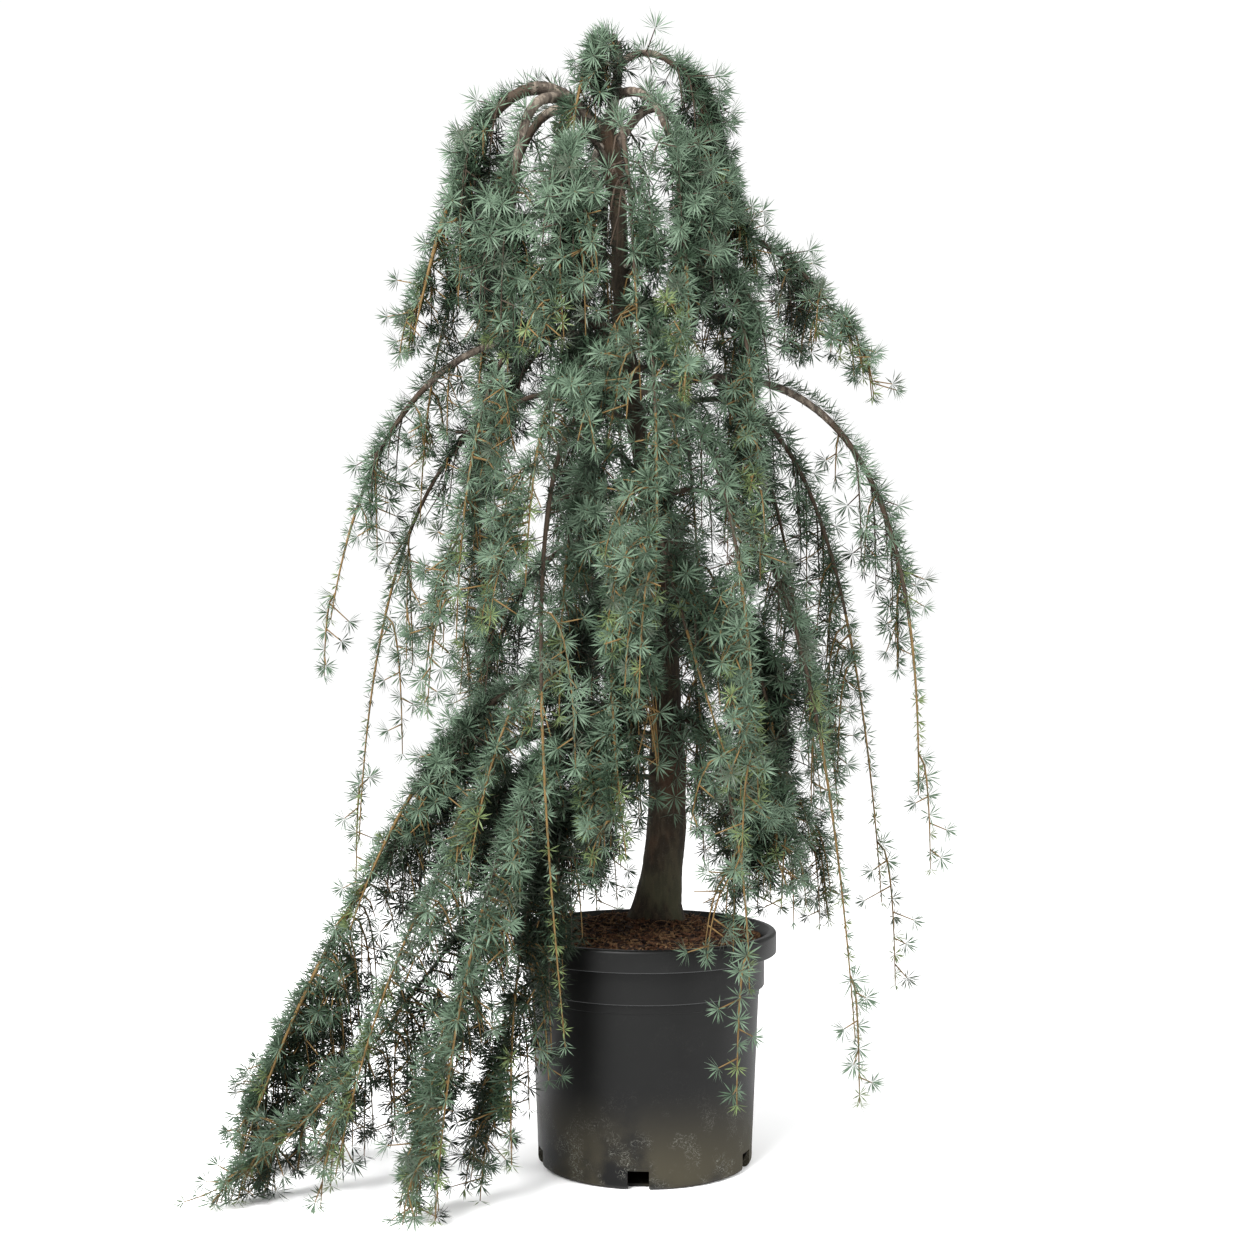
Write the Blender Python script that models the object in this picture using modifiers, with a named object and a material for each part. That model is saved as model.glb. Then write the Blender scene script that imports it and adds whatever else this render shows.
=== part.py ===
"""A weeping blue cedar of Lebanon in a round nursery pot.

Metres, +Z up. The origin is the middle of the pot's flat underside, -Y is the front.
A leaning stem rises out of the soil to a knot. From the knot and from the stem spring
arms that climb, turn over and hang down to the ground. The first part of a stout arm
is a bare bough, and the rest is a mass of foliage: a stem, the twigs that hang from it,
and sprays of needles on both.
"""

import math
import random
from typing import NamedTuple

import bmesh
import bpy
import numpy as np
from mathutils import Vector

UP = Vector((0, 0, 1))
GAP = 0.0003  # between pieces that touch

# Pot, a 25 litre container with a collar and a band under it
POT_SIDES = 32
POT_HEIGHT = 0.316
POT_WALL = 0.0032
COLLAR_RADIUS = 0.180
COLLAR_FOOT = 0.287
COLLAR_INSIDE = 0.169
COLLAR_ROUNDING = 0.0035
BAND_RADIUS = 0.1635
BAND_FOOT = 0.2425
BODY_TOP_RADIUS = 0.1572
BODY_FOOT_RADIUS = 0.1465
FOOT_HEIGHT = 0.020
FOOT_BEND_HEIGHT = 0.008
FOOT_BEND = 0.0025  # how far the foot has drawn in at that height
UNDERSIDE_RADIUS = 0.138
NOTCHES = 5
NOTCH_WIDTH = 0.028
NOTCH_HEIGHT = 0.025
NOTCH_DEPTH = 0.020
FIRST_NOTCH = math.radians(-94)
SHARP_ANGLE = math.radians(30)

# Soil, a low heap
SOIL_RIM_HEIGHT = 0.302
SOIL_TOP = 0.330
SOIL_FLAT_RADIUS = 0.055
SOIL_BEND_RADIUS = 0.105
SOIL_BEND_HEIGHT = 0.3194
SOIL_PLAY = 0.0006  # between the soil and the wall

# Stem: height, lean to the side, radius
STEM_COURSE = (
    (0.3303, 0.013, 0.0350),
    (0.350, 0.016, 0.0305),
    (0.385, 0.022, 0.0280),
    (0.454, 0.030, 0.0270),
    (0.600, 0.031, 0.0205),
    (0.822, 0.021, 0.0140),
    (0.980, -0.008, 0.0118),
    (1.152, -0.031, 0.0112),
    (1.317, -0.037, 0.0115),
    (1.385, -0.049, 0.0128),
    (1.418, -0.060, 0.0140),
)
STEM_SIDES = 10
COURSE_POINTS = 48
HEADING_STEP = 0.01  # share of a course over which its heading is taken
BOUGH_STEP = 0.032
BOUGH_TAPER = 0.55  # share of the girth that an arm would lose over its whole length
SQUARE_END = 0.002  # the last stretch of a bough runs straight, so that its end is square
FLARE_LOBES = 0.16  # share by which the root flare bulges out in two lobes
FLARE_TOP = 0.40

# Sprays of needles, three round a twig at each step along it
SPRAY_REACH = 0.038
FITTED_SHARES = (1.0, 0.8, 0.62, 0.45)  # the longest that fits is taken
SHORT_SHARE = 0.78  # of every second spray
SHARE_AT_TIP = 0.62  # sprays shorten towards the end of a twig
SPRAY_PITCH = 0.0385
ROOT_ROOM = 0.024  # sprays keep this far from the root of a twig
SWEEP = 0.012  # how far a spray's tip points on towards the end of its twig
TWIG_RADIUS = 0.0038
TWIG_END = 0.0012
SPRAY_TURN = math.radians(50)
BARE_STEP = 0.060
FIRST_SPRAY = 0.022  # distance of a twig's first spray from its root

# Twigs that hang from a mass's stem
TWIG_SHARES = (0.04, 0.90)  # the stretch of the needled stem that bears twigs
FIRST_SHARE = 0.37
NEXT_SHARE = 0.618
NEXT_TURN = math.radians(137.5)
TURN_PLAY = 0.5
FLATNESS = 0.65  # how far twigs reach outward, against how far they reach sideways
SPREAD_PLAY = (0.70, 1.15)
HANG_PLAY = (0.75, 1.20)
TWIG_LIFT = 0.15
TWIG_FOOT = 1.1

# Room that a mass keeps
ROOM_TO_NEIGHBOUR = 0.003
ROOM_TO_LIMB = 0.004
ROOM_TO_POT = 0.006
ROOM_TO_GROUND = 0.004
CROWDING = 0.020
SAMPLE_STEP = 0.008


class Arm(NamedTuple):
    """One arm, from its root over a shoulder to its foot. Angles in degrees from +X.

    root is the height on the stem, or the share of another arm where this one forks off.
    limb is the share of the arm that is a bare bough. Where it is 0, the foliage's own
    stem starts at the trunk, and bare is the share of it without needles.
    """

    name: str
    root: float
    azimuth: float
    reach: float
    shoulder: float
    foot_azimuth: float
    foot_reach: float
    foot: float
    limb: float = 0.0
    girth: float = 0.0045
    twigs: int = 3
    spread: float = 0.060
    hang: float = 0.170
    bare: float = 0.14
    set_off: float = 0.45
    rise: float = 0.03
    fork_of: str = ""


ARMS = (
    # the crest, and the limbs that spring from the knot
    Arm("crest", 1.400, -162, 0.095, 1.545, -154, 0.108, 1.395, limb=0.42, girth=0.0085, twigs=4,
        spread=0.030, hang=0.070, bare=0.03, set_off=-1.5, rise=0.090),
    Arm("right_crest", 0.33, 12, 0.099, 1.530, -8, 0.132, 1.237, limb=0.16, girth=0.0050, twigs=6,
        spread=0.050, hang=0.120, bare=0.02, set_off=0.30, rise=0.02, fork_of="crest"),
    Arm("left_shoulder", 1.392, -168, 0.241, 1.494, -169, 0.316, 1.122, limb=0.26, girth=0.0105, twigs=5,
        bare=0.03),
    Arm("left_fall", 0.16, -152, 0.205, 1.459, -143, 0.225, 1.060, limb=0.36, girth=0.0075, twigs=4,
        bare=0.05, set_off=0.60, rise=-0.02, fork_of="left_shoulder"),
    Arm("left_centre", 1.350, -129, 0.206, 1.396, -119, 0.215, 1.090, limb=0.22, twigs=5, bare=0.05),
    Arm("front_fall", 0.10, -101, 0.122, 1.426, -92, 0.200, 1.017, limb=0.24, bare=0.05, rise=0.0,
        fork_of="crest"),
    Arm("right_front", 0.20, -64, 0.133, 1.446, -75, 0.207, 1.017, limb=0.26, girth=0.0065, twigs=5,
        bare=0.02, rise=0.0, fork_of="crest"),
    Arm("back_left_top", 1.368, 150, 0.240, 1.500, 145, 0.300, 1.035, limb=0.26, girth=0.0080, twigs=4,
        bare=0.05),
    Arm("back_top", 1.340, 108, 0.170, 1.500, 106, 0.229, 1.024),
    Arm("back_right_top", 1.372, 50, 0.144, 1.500, 50, 0.195, 1.018, limb=0.24, girth=0.0070, twigs=4,
        bare=0.05),
    # the sides and the front of the middle
    Arm("far_left", 1.12, -177, 0.368, 1.128, -176, 0.428, 0.740, limb=0.46, girth=0.0060, twigs=2,
        spread=0.030, hang=0.120, bare=0.03),
    Arm("left_long", 1.05, 173, 0.375, 1.048, 172, 0.405, 0.430),
    Arm("left_mantle", 1.22, 174, 0.300, 1.338, 176, 0.312, 0.878),
    Arm("left_front_mantle", 1.10, -145, 0.285, 1.170, -140, 0.314, 0.714),
    Arm("front_left_curtain", 1.08, -121, 0.270, 1.110, -120, 0.300, 0.780, twigs=4),
    Arm("golden_whip", 1.00, -124, 0.325, 1.033, -112, 0.270, 0.210, twigs=1),
    Arm("front_right_curtain", 1.15, -85, 0.241, 1.162, -88, 0.270, 0.739),
    Arm("right_mantle", 1.20, -32, 0.187, 1.280, -48, 0.214, 0.816, twigs=4),
    Arm("right_spur", 1.22, 8, 0.218, 1.290, 4, 0.305, 1.090, limb=0.40, girth=0.0060,
        hang=0.130, bare=0.02),
    Arm("far_right", 1.05, -3, 0.382, 1.080, -3, 0.373, 0.501, limb=0.35, girth=0.0060, twigs=2,
        spread=0.030, bare=0.02),
    Arm("right_outer", 1.00, 12, 0.290, 1.077, 8, 0.335, 0.345, spread=0.040),
    Arm("right_long", 0.90, -33, 0.260, 0.921, -27, 0.305, 0.195, twigs=2, spread=0.040),
    Arm("right_front_whips", 1.02, -61, 0.252, 1.015, -62, 0.293, 0.514),
    # the back of the middle
    Arm("back_left_mantle", 1.14, 145, 0.290, 1.150, 145, 0.330, 0.640),
    Arm("back_mantle", 1.08, 110, 0.260, 1.120, 110, 0.300, 0.600),
    Arm("back_right_mantle", 1.16, 72, 0.250, 1.180, 72, 0.290, 0.620),
    Arm("back_right_outer", 1.08, 38, 0.270, 1.100, 38, 0.310, 0.520),
    # the foot of the crown
    Arm("centre_left", 0.90, -133, 0.164, 1.001, -119, 0.228, 0.612),
    Arm("front_low", 0.80, -110, 0.212, 0.815, -96, 0.241, 0.440),
    Arm("diagonal_spray", 0.86, -85, 0.201, 0.815, -65, 0.265, 0.527, twigs=2),
    Arm("right_low", 0.75, -31, 0.192, 0.779, -32, 0.224, 0.399, twigs=4),
    Arm("right_rim_plume", 0.60, -58, 0.235, 0.560, -58, 0.245, 0.273, twigs=2),
    Arm("left_low", 0.75, -140, 0.247, 0.713, -133, 0.326, 0.415),
    Arm("back_left_low", 0.84, 155, 0.250, 0.860, 155, 0.310, 0.360),
    Arm("back_low", 0.80, 112, 0.220, 0.820, 112, 0.270, 0.370),
    Arm("back_right_low", 0.88, 70, 0.220, 0.880, 70, 0.270, 0.370),
    Arm("back_right_foot", 0.70, 30, 0.220, 0.740, 30, 0.260, 0.380),
    # the cascade to the ground, in front on the left
    Arm("cascade_top", 0.68, -161, 0.302, 0.647, -160, 0.409, 0.337, limb=0.30, girth=0.0070, twigs=5,
        hang=0.200, bare=0.05),
    Arm("cascade_left", 0.60, -165, 0.377, 0.554, -167, 0.545, 0.032, limb=0.26, girth=0.0080, twigs=6,
        hang=0.200, bare=0.05),
    Arm("cascade_ground", 0.55, -150, 0.420, 0.060, -158, 0.622, 0.013, twigs=6),
    Arm("cascade_heart", 0.58, -148, 0.360, 0.500, -147, 0.460, 0.050, twigs=5),
    Arm("cascade_front", 0.64, -130, 0.356, 0.517, -129, 0.406, 0.016, twigs=5, hang=0.200),
    Arm("cascade_inner", 0.52, -133, 0.273, 0.511, -125, 0.293, 0.061, twigs=4),
)


def principled(name, colour, roughness, metallic=0.0):
    """A plain material with a base colour given as linear red, green and blue."""
    material = bpy.data.materials.new(name)
    material.use_nodes = True
    shader = material.node_tree.nodes["Principled BSDF"]
    shader.inputs["Base Color"].default_value = (*colour, 1.0)
    shader.inputs["Roughness"].default_value = roughness
    shader.inputs["Metallic"].default_value = metallic
    material.diffuse_color = (*colour, 1.0)
    return material


def polar(azimuth, reach, height):
    angle = math.radians(azimuth)
    return Vector((reach * math.cos(angle), reach * math.sin(angle), height))


class Course:
    """A smooth way through space, read by the distance along it."""

    def __init__(self, points):
        self.points = np.array(points)
        steps = np.linalg.norm(np.diff(self.points, axis=0), axis=1)
        self.marks = np.concatenate([[0.0], np.cumsum(steps)])
        self.length = float(self.marks[-1])
        way = self.points[-1] - self.points[0]
        middle = self.points[len(self.points) // 2] - self.points[0]
        across = np.cross(middle, way)
        flat = Vector((across[0], across[1], 0.0))
        self.across = flat.normalized() if flat.length > 1e-9 else Vector((0, 1, 0))

    def at(self, distance):
        return Vector([np.interp(distance, self.marks, self.points[:, axis]) for axis in range(3)])

    def heading(self, distance):
        step = HEADING_STEP * self.length
        return (self.at(distance + step) - self.at(distance - step)).normalized()

    def samples(self, start, end, step):
        count = max(2, int((end - start) / step) + 1)
        return [self.at(distance) for distance in np.linspace(start, end, count)]


def bezier(controls):
    """Points along the Bezier curve of these control points."""
    degree = len(controls) - 1
    share = np.linspace(0.0, 1.0, COURSE_POINTS)[:, None]
    weights = [math.comb(degree, k) * share**k * (1 - share) ** (degree - k) for k in range(degree + 1)]
    return sum(weight * np.array(control) for weight, control in zip(weights, controls))


def stem_axis(height):
    heights, leans, _ = zip(*STEM_COURSE)
    return Vector((float(np.interp(height, heights, leans)), 0.0, height))


def stem_radius(height):
    heights, _, radii = zip(*STEM_COURSE)
    return float(np.interp(height, heights, radii))


def arm_course(arm, courses):
    """The arm's way: out and up from its root, over the shoulder, down to the foot."""
    if arm.fork_of:
        parent = courses[arm.fork_of]
        root = parent.at(arm.root * parent.length)
    else:
        root = stem_axis(arm.root)
    shoulder = polar(arm.azimuth, arm.reach, arm.shoulder)
    foot = polar(arm.foot_azimuth, arm.foot_reach, arm.foot)
    out = (shoulder - root) * arm.set_off
    climb = max(shoulder.z - root.z, 0.0) + arm.rise
    lift = Vector((root.x + out.x, root.y + out.y, root.z + climb))
    return Course(bezier([root, lift, shoulder, foot]))


class Room:
    """Keeps each mass to its own space: nearer to its own stem than to any other stem."""

    def __init__(self, courses, arms):
        stems, owners, limbs, radii = [], [], [], []
        for arm in arms:
            course = courses[arm.name]
            joint = arm.limb * course.length
            for place in course.samples(joint, course.length, SAMPLE_STEP):
                stems.append(place)
                owners.append(arm.name)
            if arm.limb:
                for place in course.samples(0.0, joint, SAMPLE_STEP):
                    limbs.append(place)
                    radii.append(arm.girth)
        for height in np.arange(STEM_COURSE[0][0], STEM_COURSE[-1][0], SAMPLE_STEP):
            limbs.append(stem_axis(height))
            radii.append(stem_radius(height))
        self.stems = np.array(stems)
        self.owners = np.array(owners)
        self.limbs = np.array(limbs)
        self.radii = np.array(radii)

    def free(self, owner, place):
        """True where a needle or twig of the owner's mass may be."""
        if place.z < ROOM_TO_GROUND:
            return False
        if place.z < POT_HEIGHT + ROOM_TO_POT and math.hypot(place.x, place.y) < COLLAR_RADIUS + ROOM_TO_POT:
            return False
        point = np.array(place)
        if (np.linalg.norm(self.limbs - point, axis=1) - self.radii).min() < ROOM_TO_LIMB:
            return False
        away = np.linalg.norm(self.stems - point, axis=1)
        mine = self.owners == owner
        return away[mine].min() + 2 * ROOM_TO_NEIGHBOUR < away[~mine].min()


def corners(course, distance, turn, radius):
    """Three points of a twig round its course."""
    heading = course.heading(distance)
    side = (course.across - heading * course.across.dot(heading)).normalized()
    front = heading.cross(side)
    middle = course.at(distance)
    angles = [turn + number * math.tau / 3 for number in range(3)]
    return [middle + (side * math.cos(angle) + front * math.sin(angle)) * radius for angle in angles]


def spray_tips(room, owner, low, high, reach):
    """A tip outside each of the three faces between two rings, or None where none fits."""
    middle = sum(low + high, Vector()) / 6
    heading = (sum(high, Vector()) - sum(low, Vector())).normalized()
    tips = []
    for number in range(3):
        after = (number + 1) % 3
        face = (low[number] + low[after] + high[number] + high[after]) / 4
        out = (face - middle).normalized()
        places = [middle + out * (share * reach) + heading * SWEEP for share in FITTED_SHARES]
        halfway = [(middle + place) / 2 for place in places]
        fits = (tip for tip, half in zip(places, halfway) if room.free(owner, tip) and room.free(owner, half))
        tips.append(next(fits, None))
    return tips


def grow_twig(room, owner, course, start, girth, needles_from, taken, roots, loose):
    """Rings along a twig and the sprays between them.

    A loose twig stops where it would leave its mass's space, and is dropped if no spray
    is left on it.
    """
    end = course.length
    bare_steps = max(1, round((needles_from - start) / BARE_STEP))
    bare_marks = np.linspace(start, needles_from, bare_steps + 1)
    rings = [corners(course, distance, 0.0, girth) for distance in bare_marks]
    tips = [[None] * 3 for _ in range(bare_steps)]
    steps = max(1, round((end - needles_from) / SPRAY_PITCH))
    marks = np.linspace(needles_from, end, steps + 1)
    for number in range(steps):
        middle = course.at(0.5 * (marks[number] + marks[number + 1]))
        if loose and not (room.free(owner, middle) and room.free(owner, course.at(marks[number + 1]))):
            break
        radius = min(girth, TWIG_RADIUS) + (TWIG_END - min(girth, TWIG_RADIUS)) * (number + 1) / steps
        ring = corners(course, marks[number + 1], (number + 1) * SPRAY_TURN, radius)
        crowded = any((middle - other).length < CROWDING for other in taken)
        crowded = crowded or any((middle - root).length < ROOT_ROOM for root in roots)
        share = 1 + (SHARE_AT_TIP - 1) * (number + 0.5) / steps
        reach = SPRAY_REACH * share * (SHORT_SHARE if number % 2 else 1.0)
        tips.append([None] * 3 if crowded else spray_tips(room, owner, rings[-1], ring, reach))
        rings.append(ring)
        if any(tips[-1]):
            taken.append(middle)
    if loose and not any(any(step) for step in tips):
        return None
    return rings, tips


def twig_course(arm, stem, start, number):
    """The way of one hanging twig: out to one side of the stem, and down."""
    draw = random.Random(f"{arm.name} {number}")
    low, high = TWIG_SHARES
    share = low + (high - low) * ((FIRST_SHARE + number * NEXT_SHARE) % 1.0)
    root = stem.at(start + (stem.length - start) * share)
    turn = number * NEXT_TURN + draw.uniform(-TURN_PLAY, TURN_PLAY)
    outward = stem.across.cross(UP)
    side = stem.across * math.cos(turn) + outward * (FLATNESS * math.sin(turn))
    spread = arm.spread * draw.uniform(*SPREAD_PLAY)
    hang = arm.hang * draw.uniform(*HANG_PLAY)
    bend = root + side * spread + UP * (TWIG_LIFT * spread)
    return Course(bezier([root, bend, root + side * (TWIG_FOOT * spread) - UP * hang]))


def loft(name, rings, tips=()):
    """A closed mesh through rings of points. Where a face has a tip, it is drawn out to it."""
    form = bmesh.new()
    levels = [[form.verts.new(place) for place in ring] for ring in rings]
    for step, (low, high) in enumerate(zip(levels, levels[1:])):
        for number in range(len(low)):
            after = (number + 1) % len(low)
            around = (low[number], low[after], high[after], high[number])
            tip = tips[step][number] if tips else None
            if tip is None:
                form.faces.new(around)
                continue
            top = form.verts.new(tip)
            for near, far in zip(around, around[1:] + around[:1]):
                form.faces.new((near, far, top))
    form.faces.new(reversed(levels[0]))
    form.faces.new(levels[-1])
    bmesh.ops.triangulate(form, faces=[face for face in form.faces if len(face.verts) == 4])
    bmesh.ops.recalc_face_normals(form, faces=form.faces)
    mesh = bpy.data.meshes.new(name)
    form.to_mesh(mesh)
    form.free()
    return mesh


def place_object(name, mesh, collection, material=None):
    thing = bpy.data.objects.new(name, mesh)
    collection.objects.link(thing)
    if material:
        mesh.materials.clear()
        mesh.materials.append(material)
    return thing


def add_boolean(thing, operation, other):
    """Joins or cuts by one object, or by all of a collection."""
    modifier = thing.modifiers.new(operation.lower(), "BOOLEAN")
    modifier.operation = operation
    modifier.solver = "EXACT"
    if isinstance(other, bpy.types.Collection):
        modifier.operand_type = "COLLECTION"
        modifier.collection = other
    else:
        modifier.object = other


def settle(thing):
    """Gives the object the mesh that its modifiers make, and removes them."""
    graph = bpy.context.evaluated_depsgraph_get()
    mesh = bpy.data.meshes.new_from_object(thing.evaluated_get(graph))
    thing.modifiers.clear()
    thing.data = mesh


def keep_main_body(mesh):
    """Fills hollows that a join sealed and drops loose scraps: only the widest shell stays."""
    form = bmesh.new()
    form.from_mesh(mesh)
    form.verts.ensure_lookup_table()
    unseen = set(form.verts)
    shells = []
    while unseen:
        shell, front = set(), [unseen.pop()]
        while front:
            vert = front.pop()
            shell.add(vert)
            for edge in vert.link_edges:
                other = edge.other_vert(vert)
                if other in unseen:
                    unseen.remove(other)
                    front.append(other)
        shells.append(shell)
    shells.sort(key=len)
    for shell in shells[:-1]:
        bmesh.ops.delete(form, geom=list(shell), context="VERTS")
    form.to_mesh(mesh)
    form.free()


def tube(name, course, end, girth, tip):
    """A round limb, as a curve whose radius falls from girth to tip. Its end is square."""
    curve = bpy.data.curves.new(name, "CURVE")
    curve.dimensions = "3D"
    curve.bevel_depth = 1.0
    curve.bevel_resolution = 1
    curve.use_fill_caps = True
    marks = np.linspace(0.0, end, max(2, round(end / BOUGH_STEP) + 1))
    stations = [(course.at(mark), girth + (tip - girth) * mark / end) for mark in marks]
    stations.insert(-1, (course.at(end) - course.heading(end) * SQUARE_END, tip))
    spline = curve.splines.new("POLY")
    spline.points.add(len(stations) - 1)
    for point, (place, radius) in zip(spline.points, stations):
        point.co = (*place, 1.0)
        point.radius = radius
    guide = bpy.data.objects.new(name, curve)
    bpy.context.scene.collection.objects.link(guide)
    mesh = bpy.data.meshes.new_from_object(guide.evaluated_get(bpy.context.evaluated_depsgraph_get()))
    bpy.data.objects.remove(guide)
    form = bmesh.new()
    form.from_mesh(mesh)
    bmesh.ops.remove_doubles(form, verts=form.verts, dist=1e-6)
    form.to_mesh(mesh)
    form.free()
    return mesh


def arc(centre, radius, start, end, steps):
    """Points of a round stretch of a profile, angles in degrees."""
    angles = np.radians(np.linspace(start, end, steps + 1))
    return [(centre[0] + radius * math.cos(a), centre[1] + radius * math.sin(a)) for a in angles]


def pot_wall_inside(height):
    """Radius of the pot's inner wall."""
    share = (height - FOOT_HEIGHT) / (BAND_FOOT - FOOT_HEIGHT)
    return BODY_FOOT_RADIUS + share * (BODY_TOP_RADIUS - BODY_FOOT_RADIUS) - POT_WALL


def pot_profile():
    """The pot's section: down the outside, over the underside, and up the inside."""
    rounding = COLLAR_ROUNDING
    lip = arc((COLLAR_RADIUS - rounding, POT_HEIGHT - rounding), rounding, 90, 0, 2)
    outside = [
        (COLLAR_RADIUS, COLLAR_FOOT),
        (BAND_RADIUS, COLLAR_FOOT),
        (BAND_RADIUS, BAND_FOOT),
        (BODY_TOP_RADIUS, BAND_FOOT),
        (BODY_FOOT_RADIUS, FOOT_HEIGHT),
        (BODY_FOOT_RADIUS - FOOT_BEND, FOOT_BEND_HEIGHT),
        (UNDERSIDE_RADIUS, 0.0),
        (0.0, 0.0),
    ]
    inside = [
        (0.0, POT_WALL),
        (UNDERSIDE_RADIUS - POT_WALL, POT_WALL),
        (pot_wall_inside(FOOT_HEIGHT), FOOT_HEIGHT),
        (pot_wall_inside(COLLAR_FOOT), COLLAR_FOOT),
        (COLLAR_INSIDE, POT_HEIGHT),
    ]
    return lip + outside + inside


def turned(name, profile, closed):
    """A shape turned about the Z axis from its section."""
    form = bmesh.new()
    verts = [form.verts.new((x, 0.0, z)) for x, z in profile]
    for low, high in zip(verts, verts[1:] + verts[:1] if closed else verts[1:]):
        form.edges.new((low, high))
    mesh = bpy.data.meshes.new(name)
    form.to_mesh(mesh)
    form.free()
    return mesh


def add_screw(thing):
    screw = thing.modifiers.new("turn", "SCREW")
    screw.steps = screw.render_steps = POT_SIDES
    screw.use_merge_vertices = True
    screw.merge_threshold = 1e-5
    screw.use_smooth_shade = True


def make_notch_cutters(cutters):
    """The drain notches at the foot, spread evenly round the pot."""
    for number in range(NOTCHES):
        angle = FIRST_NOTCH + number * math.tau / NOTCHES
        form = bmesh.new()
        bmesh.ops.create_cube(form, size=1.0)
        bmesh.ops.scale(form, verts=form.verts, vec=(2 * NOTCH_DEPTH, NOTCH_WIDTH, 2 * NOTCH_HEIGHT))
        mesh = bpy.data.meshes.new(f"notch_{number + 1}")
        form.to_mesh(mesh)
        form.free()
        cutter = place_object(f"notch_{number + 1}", mesh, cutters)
        cutter.location = polar(math.degrees(angle), BODY_FOOT_RADIUS, 0.0)
        cutter.rotation_euler.z = angle
        cutter.hide_render = True
        cutter.display_type = "WIRE"


def make_pot(parts, cutters, material):
    pot = place_object("pot", turned("pot", pot_profile(), closed=True), parts, material)
    add_screw(pot)
    notches = bpy.data.collections.new("pot_notches")
    cutters.children.link(notches)
    make_notch_cutters(notches)
    add_boolean(pot, "DIFFERENCE", notches)
    settle(pot)
    pot.data.shade_smooth()
    pot.data.set_sharp_from_angle(angle=SHARP_ANGLE)


def make_soil(parts, material):
    """The heap that fills the pot, flat where the stem stands on it."""
    floor = POT_WALL + GAP
    profile = [
        (0.0, SOIL_TOP),
        (SOIL_FLAT_RADIUS, SOIL_TOP),
        (SOIL_BEND_RADIUS, SOIL_BEND_HEIGHT),
        (pot_wall_inside(COLLAR_FOOT) - SOIL_PLAY, SOIL_RIM_HEIGHT),
        (pot_wall_inside(COLLAR_FOOT) - SOIL_PLAY, COLLAR_FOOT),
        (pot_wall_inside(FOOT_HEIGHT) - SOIL_PLAY, FOOT_HEIGHT),
        (UNDERSIDE_RADIUS - POT_WALL - SOIL_PLAY, floor),
        (0.0, floor),
    ]
    soil = place_object("soil", turned("soil", profile, closed=False), parts, material)
    add_screw(soil)


def stem_sections(clearance=0.0):
    """Sections of the stem, with two lobes in the root flare."""
    sections = []
    grow = clearance / math.cos(math.pi / STEM_SIDES)
    for height, lean, radius in STEM_COURSE:
        flare = FLARE_LOBES * max(0.0, (FLARE_TOP - height) / (FLARE_TOP - STEM_COURSE[0][0]))
        section = []
        for number in range(STEM_SIDES):
            angle = number * math.tau / STEM_SIDES
            reach = radius * (1 + flare * math.cos(2 * angle)) + grow
            section.append(Vector((lean + reach * math.cos(angle), reach * math.sin(angle), height)))
        sections.append(section)
    for corner in sections[-1]:
        corner.z += clearance
    return sections


def bough_ends(arm, course):
    """Length of the bare bough and its radius at the tip."""
    return arm.limb * course.length, arm.girth * (1 - BOUGH_TAPER * arm.limb)


def make_sleeve(name, mesh, cutters):
    """A slightly fatter copy of a limb, which cuts the roots of what springs from it."""
    sleeve = place_object(f"{name}_sleeve", mesh, cutters)
    sleeve.hide_render = True
    sleeve.display_type = "WIRE"
    return sleeve


def make_bough(arm, course, sleeve, parts, material):
    end, tip = bough_ends(arm, course)
    name = f"{arm.name}_bough"
    bough = place_object(name, tube(name, course, end, arm.girth, tip), parts, material)
    add_boolean(bough, "DIFFERENCE", sleeve)
    settle(bough)
    keep_main_body(bough.data)
    bough.data.shade_smooth()


def make_foliage(arm, course, room, sleeve, parts, cutters, material):
    """One mass: its own stem, from the bough's tip or the trunk, and its hanging twigs."""
    joint, girth = bough_ends(arm, course)
    start = joint + GAP if arm.limb else 0.0
    needles_from = start + arm.bare * (course.length - start)
    ways = [twig_course(arm, course, needles_from, number) for number in range(arm.twigs)]
    roots = [way.at(0.0) for way in ways]
    taken = []
    name = f"{arm.name}_foliage"
    stem = grow_twig(room, arm.name, course, start, girth, needles_from, taken, roots, loose=False)
    foliage = place_object(name, loft(name, *stem), parts, material)
    twigs = bpy.data.collections.new(f"{arm.name}_twigs")
    cutters.children.link(twigs)
    for number, way in enumerate(ways):
        twig = grow_twig(room, arm.name, way, 0.0, TWIG_RADIUS, FIRST_SPRAY, taken, roots, loose=True)
        if twig:
            place_object(f"{arm.name}_twig_{number + 1}", loft("twig", *twig), twigs)
    if not arm.limb:
        add_boolean(foliage, "DIFFERENCE", sleeve)
    if twigs.objects:
        add_boolean(foliage, "UNION", twigs)
    settle(foliage)
    for twig in list(twigs.objects):
        bpy.data.objects.remove(twig)
    bpy.data.collections.remove(twigs)
    keep_main_body(foliage.data)


def clear_scene():
    for thing in list(bpy.data.objects):
        bpy.data.objects.remove(thing)


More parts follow.
